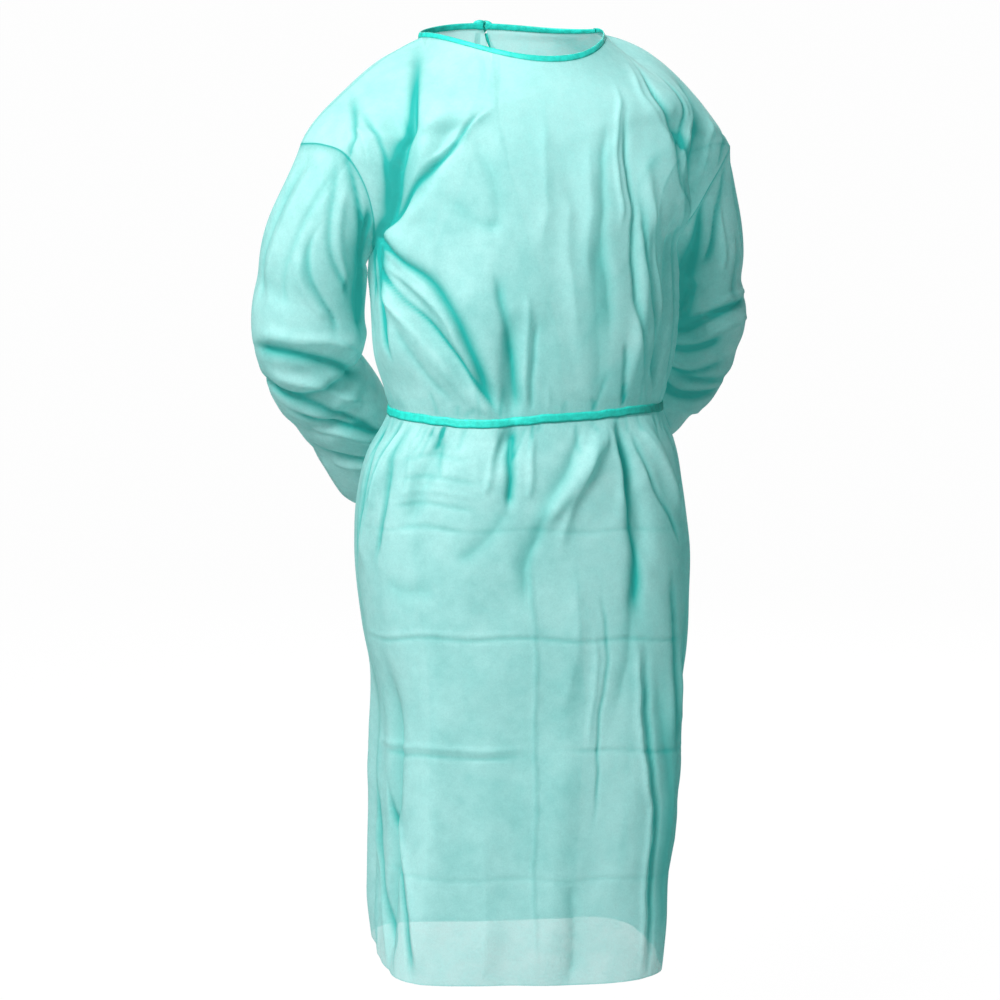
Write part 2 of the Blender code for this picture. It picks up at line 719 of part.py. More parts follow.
def tail_grid(side, knot, length):
    """One hanging end of a tape. It leaves the knot, follows the back and swings away from the other."""
    start = knot + np.array([side * KNOT_WIDTH / 4, 0.0, -KNOT_HEIGHT / 2 * KNOT_UNDER - SEAM])
    rows = []
    for share in np.linspace(0.0, 1.0, TAIL_ROWS):
        across = side * (TAIL_START_SHARE + TAIL_SPREAD * share**TAIL_CURVE)
        height = start[2] - length * share
        middle = on_back(across, min(height, -YOKE_FADE * share), 0.0)[0]
        sway = TAIL_SWAY * math.sin(TAIL_WAVES * math.pi * share + side)
        stand = TAIL_STAND + TAIL_DRIFT * share + TAIL_BOW * math.sin(math.pi * share)
        hung = ease(share / TAIL_LEAVES_KNOT)
        middle = (middle + np.array([sway, stand, 0.0])) * hung + start * (1.0 - hung)
        middle[2] = height
        turn = TAIL_TURN * math.sin(TAIL_TURNS * math.pi * share + side)
        half = np.array([BELT_WIDTH / 2, turn, 0.0])
        rows.append([middle + half, middle - half])
    return np.array(rows)[::-1]


def add_knot(collection, name, centre, material):
    """A flat soft knot: a squashed ball, drawn in across its middle where the tape wraps it."""
    shape = bmesh.new()
    bmesh.ops.create_uvsphere(shape, u_segments=KNOT_SIDES, v_segments=KNOT_ROWS, radius=1.0)
    for vertex in shape.verts:
        x, y, z = vertex.co
        waist = 1.0 - KNOT_WRAP * math.exp(-((x / KNOT_WRAP_WIDTH) ** 2))
        vertex.co = (x * KNOT_WIDTH / 2, y * waist * KNOT_DEPTH / 2, z * waist * KNOT_HEIGHT / 2)
    mesh = bpy.data.meshes.new(name)
    shape.to_mesh(mesh)
    shape.free()
    mesh.shade_smooth()
    mesh.materials.append(material)
    knot = bpy.data.objects.new(name, mesh)
    knot.location = centre
    collection.objects.link(knot)
    return knot


def make_material(name, colour, roughness):
    material = bpy.data.materials.new(name)
    material.use_nodes = True
    shader = material.node_tree.nodes["Principled BSDF"]
    shader.inputs["Base Color"].default_value = (*colour, 1.0)
    shader.inputs["Roughness"].default_value = roughness
    shader.inputs["Metallic"].default_value = 0.0
    return material


def add_wall(collection, name, outer, normals, thickness, material, closed=False):
    vertices, faces = walls(outer, outer - normals * thickness, closed)
    mesh = bpy.data.meshes.new(name)
    mesh.from_pydata(vertices.tolist(), [], faces)
    mesh.update()
    corners = vertices[np.array(faces)]
    halves = np.concatenate([corners[:, :3], corners[:, [0, 2, 3]]])
    if np.linalg.det(halves).sum() < 0:
        mesh.flip_normals()
    mesh.shade_smooth()
    mesh.set_sharp_from_angle(angle=math.radians(CREASE_DEGREES))
    mesh.materials.append(material)
    thing = bpy.data.objects.new(name, mesh)
    collection.objects.link(thing)
    return thing


def main():
    clear_scene()
    collection = bpy.data.collections.new("isolation_gown")
    bpy.context.scene.collection.children.link(collection)
    cloth = make_material("gown_cloth", CLOTH_GREEN, 0.75)

    front = front_grid()
    backs = {side: back_grid(side) for side in (1, -1)}
    grids = {"front": front, "back_left": backs[1], "back_right": backs[-1]}
    closed = {"front": False, "back_left": False, "back_right": False}
    offsets = {}
    for side, word in ((1, "left"), (-1, "right")):
        loop = armhole(front, backs[side], side)
        grid, ahead, tangent, centre = sleeve_grid(loop, side)
        offsets["sleeve_" + word] = ahead * SEAM
        offsets["cuff_" + word] = ahead * SEAM
        grids["sleeve_" + word] = grid
        closed["sleeve_" + word] = True
        grids["cuff_" + word] = cuff_grid(grid[-1], tangent, centre)
        closed["cuff_" + word] = True
    normals = shared_normals(grids, closed)

    for name in ("front", "back_left", "back_right"):
        grid = grids[name]
        skirt = slice(0, len(SKIRT_RISES) + 1)
        if name in ("front", "back_right"):
            pulled(grid, column=0, part=skirt)
        if name in ("front", "back_left"):
            pulled(grid, column=-1, part=skirt)
        if name == "front":
            pulled(grid, row=-1, part=slice(0, SHOULDER_COLUMNS + 1))
            pulled(grid, row=-1, part=slice(-SHOULDER_COLUMNS - 1, None))
        elif name == "back_left":
            pulled(grid, row=-1, part=slice(-SHOULDER_COLUMNS - 1, None))
        else:
            pulled(grid, row=-1, part=slice(0, SHOULDER_COLUMNS + 1))
    belt = belt_grid(front, normals)
    binding = binding_grid(front, backs)
    for name, grid in grids.items():
        # A whole sleeve stands a seam's width off its armhole.
        grid = grid + offsets.get(name, 0.0)
        add_wall(collection, name, grid, normals[name], CLOTH, cloth, closed[name])

    tape = make_material("gown_tape", TAPE_GREEN, 0.6)
    strips = {"belt": belt, "neck_binding": binding}
    belt_knot = on_back(0.0, BELT_RISE, SEAM * 2 + TAPE + BELT_EASE + KNOT_DEPTH / 2)[0]
    neck_knot = (binding[1][0] + binding[1][-1]) / 2
    neck_knot = neck_knot + np.array([0.0, SEAM + KNOT_DEPTH / 2 + NECK_KNOT_STAND, 0.0])
    for side, word in ((1, "left"), (-1, "right")):
        strips["belt_tail_" + word] = tail_grid(side, belt_knot, BELT_TAIL)
        strips["neck_tail_" + word] = tail_grid(side, neck_knot, NECK_TAIL)
    strip_normals = shared_normals(strips, {name: False for name in strips})
    for name, grid in strips.items():
        add_wall(collection, name, grid, strip_normals[name], TAPE, tape)
    add_knot(collection, "belt_knot", belt_knot, tape)
    add_knot(collection, "neck_knot", neck_knot, tape)


main()
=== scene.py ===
import math

import bpy
import numpy as np
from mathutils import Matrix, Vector


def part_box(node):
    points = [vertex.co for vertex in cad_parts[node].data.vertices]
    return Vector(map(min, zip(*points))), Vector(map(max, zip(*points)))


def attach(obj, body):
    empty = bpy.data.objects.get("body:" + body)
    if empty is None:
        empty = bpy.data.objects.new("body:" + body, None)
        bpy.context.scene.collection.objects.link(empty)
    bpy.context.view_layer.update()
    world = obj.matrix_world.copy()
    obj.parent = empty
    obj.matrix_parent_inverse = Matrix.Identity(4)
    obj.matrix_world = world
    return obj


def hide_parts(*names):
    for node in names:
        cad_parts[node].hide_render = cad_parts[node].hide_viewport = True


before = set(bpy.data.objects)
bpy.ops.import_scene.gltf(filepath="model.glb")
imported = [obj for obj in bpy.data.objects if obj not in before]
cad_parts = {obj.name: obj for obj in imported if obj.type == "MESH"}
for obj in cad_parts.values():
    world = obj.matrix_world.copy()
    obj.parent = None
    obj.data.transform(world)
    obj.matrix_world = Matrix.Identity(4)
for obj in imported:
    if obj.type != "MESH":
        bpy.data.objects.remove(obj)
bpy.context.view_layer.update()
print("frame loaded:", len(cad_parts), "nodes")

# Places on the body are degrees round from the centre front and a rise, which is the height on the
# skirt and runs on up the yoke to 0 at the neck and shoulder seams. Sizes are in metres, but the
# crease tables are in degrees and millimetres.
bodyForm = {
    # rise, half width, depth in front, depth behind, shift, squareness, twist in degrees
    "rings": [
        (-1.110, 0.170, 0.134, 0.134, -0.002, 4.0, -13.0),
        (-1.000, 0.171, 0.136, 0.136, 0.004, 3.6, -13.0),
        (-0.900, 0.176, 0.138, 0.138, 0.010, 3.2, -12.0),
        (-0.800, 0.182, 0.140, 0.140, 0.014, 2.8, -11.0),
        (-0.700, 0.196, 0.141, 0.141, 0.009, 2.5, -9.0),
        (-0.600, 0.202, 0.141, 0.139, 0.005, 2.3, -7.0),
        (-0.540, 0.198, 0.139, 0.133, 0.004, 2.2, -5.0),
        (-0.490, 0.187, 0.134, 0.124, 0.006, 2.2, -4.0),
        (-0.458, 0.172, 0.126, 0.113, 0.009, 2.15, -3.0),
        (-0.442, 0.167, 0.123, 0.110, 0.010, 2.1, -2.0),
        (-0.424, 0.171, 0.126, 0.112, 0.010, 2.1, -2.0),
        (-0.380, 0.182, 0.134, 0.117, 0.007, 2.15, -1.0),
        (-0.330, 0.186, 0.139, 0.121, 0.007, 2.2, 0.0),
        (-0.280, 0.187, 0.141, 0.123, 0.006, 2.2, 0.0),
        (-0.250, 0.188, 0.141, 0.123, 0.004, 2.2, 0.0),
    ],
    # rise, middle y and z, end x, y and z at the armhole, turn in degrees
    "frontYoke": [
        (-0.200, -0.140, -0.205, 0.203, -0.028, -0.218, 76.0),
        (-0.150, -0.137, -0.158, 0.220, -0.045, -0.178, 60.0),
        (-0.100, -0.129, -0.112, 0.242, -0.043, -0.144, 50.0),
        (-0.050, -0.117, -0.074, 0.260, -0.015, -0.133, 48.0),
    ],
    "backYoke": [
        (-0.200, 0.125, -0.195, 0.203, 0.060, -0.220, 76.0),
        (-0.150, 0.126, -0.140, 0.221, 0.085, -0.180, 60.0),
        (-0.100, 0.122, -0.085, 0.243, 0.083, -0.146, 50.0),
        (-0.050, 0.112, -0.035, 0.261, 0.055, -0.134, 48.0),
    ],
    "yokeSquare": 2.2,
    "neckHalfWidth": 0.112,
    "neckSide": (0.026, -0.009),  # y and z
    "neckFront": (-0.098, -0.040),
    "neckBack": (0.106, 0.006),
    "neckShare": 0.5,  # how much of a panel's width is neck edge
    "neckBlend": 0.15,
    "shoulderEnd": (0.265, 0.020, -0.132),
    "shoulderSlopes": (-0.40, -2.4),
    "shoulderPulls": (1.15, 0.42),
    "shoulderShift": 0.012,
    "shoulderEase": 0.35,
    "shoulderLost": (0.6, 0.75, 0.25),  # how much of the shift goes, from which share, run
    "leftRaise": (0.019, 0.170, 0.070, -0.14, 0.12),  # height, x, reach, from rise, run
    "lapShare": 0.34,
    "lapFrom": -0.018,
    "lapRun": 0.40,
    "lapLift": 0.007,
    "lapEase": 0.34,
    "lapBlend": 0.30,
    "lapSlack": 0.08,
    "lapOpening": 0.022,
    "lapEnd": 0.045,
    "backGap": 0.005,
    "standOut": (0.7, 1.0, 0.9, -0.27),  # shares of x, y and z, and the height that z counts from
    "perDegree": 0.0030,  # metres of cloth for each degree round
    "yokeFade": 0.045,
    "fineFade": 0.012,
    "beltRise": -0.442,
    "beltPress": 0.014,
    "beltFlattens": 0.85,
    "seam": 0.0003,
    "foldEnds": (0.08, 0.3),
    "troughShade": (0.016, 0.45),  # the depth at which the painted shade in a broad fold's trough is full, and how strong it is
    "pressTint": (0.25, 155.0),  # strength, and gathers all round
    "wanderRound": ((0.0015, 37.0, 0.0), (0.0005, 143.0, 2.0)),  # size, rate, start
    "wanderUp": (0.0018, 10.0),  # size, waves all round
    # from turn and rise, to turn and rise, width, depth
    "folds": [
        (-58, -0.030, -80, -0.210, 0.020, -0.016),
        (-42, -0.060, -68, -0.190, 0.012, -0.008),
        (60, -0.030, 80, -0.210, 0.020, -0.015),
        (46, -0.060, 62, -0.180, 0.012, -0.007),
        (-70, -0.225, -72, -0.395, 0.040, 0.009),
        (-78, -0.245, -26, -0.430, 0.014, -0.009),
        (-80, -0.280, -22, -0.455, 0.011, 0.006),
        (-21, -0.330, -22, -0.500, 0.010, -0.011),
        (34, -0.130, 30, -0.420, 0.011, 0.006),
        (52, -0.200, 44, -0.425, 0.011, -0.008),
        (20, -0.455, -6, -0.570, 0.011, 0.008),
        (26, -0.455, 34, -0.620, 0.012, -0.009),
        (38, -0.455, 58, -0.570, 0.011, 0.007),
        (-66, -0.455, -80, -0.620, 0.013, 0.008),
        (-46, -0.455, -52, -0.570, 0.012, -0.007),
        (-40, -0.740, -42, -1.120, 0.020, 0.006),
        (-66, -0.740, -64, -1.120, 0.018, -0.015),
        (-86, -0.800, -86, -1.120, 0.014, 0.007),
        (50, -0.740, 54, -1.120, 0.018, 0.008),
        (68, -0.760, 70, -1.120, 0.015, -0.011),
        (6, -0.820, 4, -1.120, 0.030, 0.006),
        (128, -0.250, 152, -0.430, 0.015, -0.009),
        (-128, -0.250, -152, -0.430, 0.015, -0.009),
        (148, -0.465, 142, -0.720, 0.017, 0.010),
        (-146, -0.465, -140, -0.700, 0.017, 0.010),
        (122, -0.470, 116, -1.120, 0.020, -0.012),
        (-120, -0.470, -128, -1.120, 0.020, -0.012),
        (146, -0.780, 142, -1.120, 0.022, 0.012),
        (-104, -0.760, -108, -1.120, 0.024, 0.013),
    ],
    # turn, rise, span in degrees, reach, drop
    "sags": [
        (-38, -0.442, 40, 0.10, 0.009),
        (34, -1.120, 45, 0.16, 0.006),
        (-112, -1.120, 34, 0.12, -0.014),
    ],
}

# how one crease is shaped across and along
creaseForm = {
    "narrows": 0.55, "widens": 0.35,  # on the crisp side and on the other
    "endHeight": 0.08, "endRun": 0.20,
    "softShare": 0.60, "crispWidth": 0.55,
    "softTint": 0.68, "tintWidth": 1.15, "tintPower": 2.4,
    "pathSteps": 5, "reach": 4.0,
}

# Creases of the front: points as (turn, rise), then width or both ends' widths, depth, how strongly it is
# tinted darker (partly the crease's layers, partly painted shade) and, where one side is crisper, which side
# and how much.
frontCreases = [
    # from the neck to the underarms
    ([(-47, -6), (-55, -39), (-68, -101), (-79, -171), (-84, -235), (-93, -290)],
     (3.5, 14.5), -7.5, 1.25, -0.5),
    ([(-45, -4), (-51, -26), (-60, -62), (-68, -100)], 4.8, -2.4, 0.7),
    ([(-60, -35), (-66, -85), (-78, -140)], (4, 7), 4.2, 0),
    ([(-34, -66), (-47, -118), (-58, -137), (-70, -165), (-82, -230)], (3.5, 8), -5.5, 0.95, 0.5),
    ([(-30, -62), (-42, -106), (-54, -124), (-64, -140)], 4.5, 3.4, 0),
    ([(-71, -6), (-79, -58), (-92, -118)], 3.4, -3.6, 0.85, 0.5),
    ([(-72, -20), (-73, -62), (-77, -126), (-84, -190)], 3.2, -3.4, 0.8, 0.5),
    ([(-76, -40), (-79, -85), (-84, -140)], 5, 4, 0),
    ([(-80, -225), (-80, -290), (-76, -345), (-72, -385)], (12, 5), -5.5, 1.1),
    ([(39, -18), (36, -52), (45, -85), (59, -118), (70, -165)], (2.8, 6), -5.2, 0.9, 0.5),
    ([(33, -22), (30, -54), (38, -86), (51, -120)], 4.5, 3, 0),
    ([(60, -12), (62, -62), (65, -128), (72, -190), (80, -245), (90, -290)], (5, 14), -7.8, 1.25, 0.5),
    ([(47, -30), (52, -78), (57, -128)], 3.2, -3.6, 0.8, 0.5),
    ([(53, -30), (57, -80), (60, -125)], 3.4, 3.2, 0),
    ([(70, -40), (74, -100), (79, -160)], 5.5, 4.4, 0),
    ([(80, -20), (83, -80), (88, -130)], 4.5, -4, 0.75),
    ([(50, -75), (54, -120), (62, -170), (70, -215)], 4, -3.4, 0.6, -0.5),
    # where the cloth crowds at the underarms and turns from the light: painted shade, over shallow creases
    # and, lower down, as broad bands with no crease under them
    ([(-82, -190), (-88, -235), (-90, -275), (-84, -320)], (15, 11), -3, 0.95),
    ([(-80, -240), (-76, -275), (-75, -315), (-76, -355)], (15, 7), -2, 0.8),
    ([(82, -200), (88, -240), (88, -290), (84, -340)], (15, 12), -3, 0.8),
    ([(74, -300), (72, -360), (70, -430)], 24, 0, 0.28),
    ([(50, -460), (58, -620), (62, -800), (64, -1000), (66, -1112)], 42, 0, 0.46),
    ([(40, -780), (48, -900), (50, -1112)], 26, 0, 0.2),
    ([(-90, -470), (-90, -700), (-88, -950), (-86, -1112)], 18, 0, 0.28),
    # drag lines from the right underarm
    ([(-92, -228), (-66, -262), (-50, -294), (-38, -352), (-26, -440)], (6, 8.5), -7.5, 1.1, 0.7),
    ([(-80, -264), (-62, -288), (-48, -322), (-38, -376), (-31, -432)], 6, 5.2, 0),
    ([(-84, -264), (-62, -312), (-46, -356), (-33, -404), (-24, -440)], 2.8, -4.6, 0.95, 0.6),
    ([(-76, -296), (-56, -346), (-40, -400)], 6, 4, 0),
    ([(-70, -330), (-58, -380), (-44, -425)], 5, -2.2, 0.3),
    # long folds down the chest
    ([(-27, -270), (-23, -340), (-20, -394), (-19, -440)], (5, 7), -4.8, 0.75, 0.5),
    ([(-15, -300), (-16, -370), (-16, -438)], 4.2, 3.4, 0),
    ([(-12, -330), (-13, -390), (-13, -440)], 3.2, -2.6, 0.5),
    ([(16, -85), (12, -190), (13, -250), (16, -304), (17, -370)], (6, 11), -3.4, 0.45, -0.5),
    ([(8, -110), (6, -200), (8, -300)], 9, 2.4, 0),
    ([(20, -36), (20, -91), (19, -155), (20, -230)], 4, 3.4, 0),
    ([(23, -60), (25, -190), (28, -312), (36, -380), (45, -436)], (3.5, 6), -4.4, 0.65, 0.5),
    ([(28, -180), (32, -254), (38, -312), (45, -380), (50, -436)], 4.8, -4.4, 0.75, 0.4),
    ([(33, -180), (37, -250), (43, -312), (50, -390)], 4.4, 3.6, 0),
    ([(11, -229), (11, -310), (14, -402), (16, -438)], 12, -1.8, 0.3),
    ([(-4, -180), (1, -286), (3, -350)], 10, 2.6, 0),
    ([(56, -200), (58, -300), (61, -380), (64, -436)], 6.2, -4.8, 0.8, 0.4),
    ([(63, -250), (66, -330), (69, -420)], 5, 3.6, 0),
    ([(74, -230), (76, -330), (78, -430)], 6.5, -4.2, 0.8),
    ([(-40, -110), (-32, -170), (-28, -240)], 9, -1.4, 0.2),
    ([(-10, -90), (-12, -180), (-10, -260)], 9, 1.6, 0),
    ([(-52, -180), (-38, -215), (-24, -222)], 8, -1.4, 0.18),
    # above and below the belt
    ([(24, -360), (26, -400), (27, -438)], 4.2, -3.2, 0.5),
    ([(-20, -444), (-18, -481), (-17, -515), (-17, -552)], (6.6, 4.5), -6.8, 1.1, 0.4),
    ([(-12, -450), (-10, -490), (-10, -540)], 4.5, 3.4, 0),
    ([(-25, -450), (-24, -490), (-25, -530)], 4.2, 3.4, 0),
    ([(-17, -541), (-22, -577), (-33, -612)], 10, -2.4, 0.35),
    ([(9, -446), (5, -493), (-4, -547), (-6, -581), (-9, -612), (-9, -680)], (6, 10), -3.6, 0.5, -0.5),
    ([(15, -452), (11, -500), (4, -548), (2, -600)], 7, 3.6, 0),
    ([(25, -444), (29, -499), (28, -563), (31, -619), (31, -700)], (5.5, 9), -6.2, 0.95, -0.6),
    ([(21, -450), (24, -500), (23, -560)], 6, 4.2, 0),
    ([(31, -460), (40, -535), (48, -567), (55, -605)], 3.6, -3.6, 0.6, 0.5),
    ([(35, -455), (46, -510), (53, -552)], 5.6, 4.2, 0),
    ([(60, -452), (66, -500), (70, -550)], 6, -4, 0.6),
    ([(-76, -440), (-77, -477), (-80, -520), (-84, -600)], 5, -5, 0.95, 0.5),
    ([(-73, -450), (-72, -500), (-72, -560)], 4, 3.8, 0),
    ([(-70, -444), (-66, -500), (-66, -570), (-68, -620)], 4.5, -4.4, 0.8, 0.5),
    ([(-62, -450), (-56, -499), (-53, -559)], 5.5, 3.2, 0),
    ([(-56, -450), (-46, -480), (-42, -515)], 4, -2.4, 0.35),
    ([(-90, -450), (-86, -520), (-88, -620)], 6, -4.6, 0.8),
    # soft sideways ripples over the right hip
    ([(-64, -488), (-48, -482), (-30, -486)], 3.4, -1.2, 0.24),
    ([(-62, -512), (-46, -508), (-26, -513)], 3.6, -1.3, 0.26),
    ([(-62, -545), (-46, -541), (-26, -546)], 3.6, -1.4, 0.26),
    ([(-60, -528), (-42, -524), (-26, -530)], 4, 1.4, 0),
    ([(-58, -570), (-44, -568), (-30, -572)], 3.4, -1.2, 0.22),
    ([(-62, -632), (-50, -648), (-38, -642)], 12, -2, 0.26),
    # where it was folded flat in its packet
    ([(-88, -577), (-39, -571), (15, -577), (60, -585)], 2.6, -0.8, 0.18),
    ([(-88, -712), (-38, -700), (-6, -701), (24, -707), (66, -717)], 2.4, -1.4, 0.36),
    ([(-84, -706), (-38, -694), (-8, -695)], 2.6, 1, 0),
    ([(-88, -842), (-39, -829), (-7, -832)], 3.4, 2.2, 0),
    ([(-84, -851), (-39, -839), (-5, -842)], 2.4, -1.4, 0.38),
    ([(0, -829), (31, -839), (66, -848)], 2.6, -1.1, 0.24),
    ([(-88, -990), (-39, -984), (15, -986), (66, -996)], 2.6, -0.8, 0.14),
    ([(-9, -560), (-7, -653), (-6, -837), (-3, -980), (0, -1112)], 2.6, 1.4, 0.22),
    # long folds to the hem
    ([(17, -640), (19, -731), (18, -801), (18, -930)], 2, -1.8, 0.6),
    ([(14, -690), (15, -750), (14, -830)], 3.6, 1.8, 0),
    ([(-76, -880), (-72, -918), (-55, -992), (-46, -1094), (-44, -1118)], 5.2, -5.8, 0.85, 0.6),
    ([(-66, -890), (-50, -985), (-41, -1112)], 6, 4.8, 0),
    ([(-88, -880), (-80, -980), (-72, -1040), (-55, -1112)], 4.2, -4.6, 0.7, 0.6),
    ([(-86, -930), (-78, -1010), (-66, -1112)], 7, 5, 0),
    ([(29, -690), (36, -871), (40, -932), (40, -1118)], 3.6, 3.6, 0),
    ([(33, -700), (40, -871), (44, -940), (44, -1118)], (6, 4), -5.2, 0.75, -0.6),
    ([(38, -720), (46, -840), (50, -930), (51, -1112)], 13, -3, 0.45),
    ([(48, -620), (50, -740), (54, -860)], 7.5, -4.6, 0.6),
    ([(58, -700), (60, -840), (61, -960), (62, -1112)], 5.5, -5.5, 0.75, 0.5),
    ([(54, -720), (56, -860), (57, -1000)], 5, 4, 0),
    ([(74, -620), (76, -800), (77, -960), (78, -1112)], 7, -5.2, 0.75),
    ([(30, -600), (28, -700), (24, -800)], 9, -2.6, 0.25),
    ([(8, -620), (8, -700), (4, -790)], 11, 2.6, 0),
    ([(-24, -900), (-20, -1000), (-20, -1112)], 14, 3, 0),
    ([(12, -980), (14, -1050), (14, -1112)], 10, -3, 0.25),
]

# Creases of the two back panels, where the same cloth hangs from the shoulders and the belt.
backCreases = [
    ([(100, -240), (118, -275), (132, -330), (146, -425)], 6.2, -5.2, 0.75),
    ([(100, -270), (116, -310), (134, -380), (142, -432)], 5, 3.2, 0),
    ([(-100, -240), (-118, -280), (-134, -345), (-150, -428)], 6.2, -5.2, 0.75),
    ([(-100, -265), (-114, -315), (-128, -400)], 5, 3.4, 0),
    ([(98, -100), (106, -170), (100, -235)], 7.5, -5.5, 0.75),
    ([(116, -80), (126, -150), (124, -220)], 7, -4, 0.45),
    ([(-98, -100), (-106, -170), (-100, -235)], 7.5, -5.5, 0.75),
    ([(-118, -70), (-124, -150), (-120, -230)], 7, -4, 0.45),
    ([(158, -60), (154, -180), (156, -320), (160, -432)], 6, -3.8, 0.45),
    ([(-160, -80), (-157, -200), (-160, -330), (-164, -432)], 6, -3.8, 0.45),
    ([(172, -240), (173, -340), (174, -432)], 5, -3, 0.4),
    ([(158, -452), (152, -540), (150, -640)], 6.5, -5.2, 0.65),
    ([(134, -452), (128, -540), (120, -620)], 6.5, -5, 0.6),
    ([(112, -452), (106, -530), (104, -640)], 6, -4.5, 0.6),
    ([(-156, -452), (-151, -540), (-150, -660)], 6.5, -5.2, 0.65),
    ([(-134, -452), (-130, -540), (-124, -640)], 6.5, -5, 0.6),
    ([(-112, -452), (-108, -540), (-104, -620)], 6, -4.5, 0.6),
    ([(168, -452), (164, -600), (166, -760), (164, -1110)], 8, 4.2, 0),
    ([(-166, -452), (-162, -600), (-164, -760), (-160, -1110)], 8, 4.2, 0),
    ([(156, -700), (154, -860), (156, -1110)], 7, -5, 0.55),
    ([(132, -680), (130, -860), (132, -1110)], 7, -5, 0.55),
    ([(106, -700), (104, -900), (106, -1110)], 7, -5, 0.55),
    ([(-154, -720), (-152, -900), (-150, -1110)], 7, -5, 0.55),
    ([(-116, -700), (-116, -900), (-118, -1110)], 7, -5, 0.55),
    ([(95, -577), (140, -571), (210, -577), (262, -585)], 3, -1, 0.22),
    ([(95, -717), (140, -704), (200, -702), (262, -717)], 3, -1.1, 0.28),
    ([(95, -857), (140, -838), (200, -838), (262, -853)], 3.2, 1.6, 0.12),
    ([(95, -990), (140, -984), (200, -986), (262, -996)], 3, -0.9, 0.18),
]

beltPuckers = {"seed": 11, "count": 130, "start": 4, "reach": (12, 45), "width": 2.7, "depth": 1.2,
               "lean": 2.2, "tint": 0.35}
bodyBuckles = {"seed": 5, "count": 420, "length": (0.04, 0.15), "width": (0.009, 0.026), "depth": 0.0017,
               "lean": 0.38, "between": (-1.11, -0.02)}
gridCuts = {"frontColumns": 236, "skirtRows": 298, "yokeRows": 104, "lapColumns": 26, "neckColumns": 50,
            "shoulderColumns": 56}
seamTint = {"side": 0.45, "hem": 0.25, "armhole": 0.70}


def ease(value):
    step = np.clip(value, 0.0, 1.0)
    return step * step * (3.0 - 2.0 * step)


def unitVectors(vectors):
    return vectors / np.linalg.norm(vectors, axis=-1, keepdims=True)


def runAlong(points):
    return np.concatenate([[0.0], np.cumsum(np.linalg.norm(np.diff(points, axis=0), axis=1))])


def splineThrough(knots, values, places):
    # a smooth curve through values at rising knots, read at each place
    knots, values = np.asarray(knots, float), np.asarray(values, float)
    steps = np.diff(knots)
    slopes = np.diff(values, axis=0) / steps.reshape((-1,) + (1,) * (values.ndim - 1))
    tangents = np.empty_like(values)
    tangents[0], tangents[-1] = slopes[0], slopes[-1]
    for i in range(1, len(knots) - 1):
        tangents[i] = (slopes[i - 1] * steps[i] + slopes[i] * steps[i - 1]) / (steps[i - 1] + steps[i])
    found = []
    for place in np.atleast_1d(places):
        i = int(np.clip(np.searchsorted(knots, place) - 1, 0, len(steps) - 1))
        s = (place - knots[i]) / steps[i]
        r = 1.0 - s
        found.append((1 + 2 * s) * r**2 * values[i] + s**2 * (3 - 2 * s) * values[i + 1]
                     + steps[i] * s * r * (r * tangents[i] - s * tangents[i + 1]))
    return np.array(found)


def roundedTurn(turn, square):
    sine, cosine = np.sin(turn), np.cos(turn)
    push = (np.abs(sine) ** square + np.abs(cosine) ** square) ** (-1.0 / square)
    return sine * push, cosine * push


def rowAcross(across, middle, end, turnDegrees, square, shift=0.0):
    turn = math.radians(turnDegrees)
    sine, cosine = roundedTurn(across * turn, square)
    endSine, endCosine = roundedTurn(np.array(turn), square)
    swing = (1.0 - cosine) / (1.0 - endCosine)
    x = shift + end[0] * sine / endSine
    y = middle[0] + (end[1] - middle[0]) * swing
    z = middle[1] + (end[2] - middle[1]) * swing
    return np.stack([x, y, z], axis=-1)


def ringRow(ring, across, facing):
    rise, halfWidth, front, back, shift, square, twist = ring
    depth = -front if facing < 0 else back
    row = rowAcross(across, (depth, rise), (halfWidth, 0.0, rise), 90.0, square)
    angle = math.radians(twist)
    x = row[:, 0] * math.cos(angle) - row[:, 1] * math.sin(angle) + shift
    y = row[:, 0] * math.sin(angle) + row[:, 1] * math.cos(angle)
    return np.stack([x, y, row[:, 2]], axis=-1)


def yokeRow(yoke, across):
    form = bodyForm
    return rowAcross(across, yoke[1:3], yoke[3:6], yoke[6], form["yokeSquare"], form["shoulderShift"])


def shoulderSeam(share):
    form = bodyForm
    start = np.array([form["neckHalfWidth"], *form["neckSide"]])
    end = np.array(form["shoulderEnd"])
    width = end[0] - start[0]
    leave, arrive = (np.array([width, 0.0, slope * width]) * pull
                     for slope, pull in zip(form["shoulderSlopes"], form["shoulderPulls"]))
    s = np.asarray(share)[..., None]
    r = 1.0 - s
    return (1 + 2 * s) * r**2 * start + s**2 * (3 - 2 * s) * end + s * r * (r * leave - s * arrive)


def topRow(across, facing):
    # the neck edge in the middle, then the two shoulder seams
    form = bodyForm
    size, side = np.abs(across), np.sign(across)
    turn = np.minimum(size / form["neckShare"], 1.0) * math.pi / 2
    midY, midZ = form["neckFront"] if facing < 0 else form["neckBack"]
    sideY, sideZ = form["neckSide"]
    neck = np.stack([form["neckHalfWidth"] * np.sin(turn),
                     sideY + (midY - sideY) * np.cos(turn),
                     sideZ + (midZ - sideZ) * np.cos(turn) ** 2], axis=-1)
    seam = shoulderSeam(np.clip((size - form["neckShare"]) / (1.0 - form["neckShare"]), 0.0, 1.0))
    row = np.where((size > form["neckShare"])[..., None], seam, neck)
    row[..., 0] *= np.where(side == 0, 1.0, side)
    most, start, run = form["shoulderLost"]
    kept = 1.0 - most * ease((size - start) / run)
    row[..., 0] += form["shoulderShift"] * ease((size - form["neckShare"]) / form["shoulderEase"]) * kept
    return row


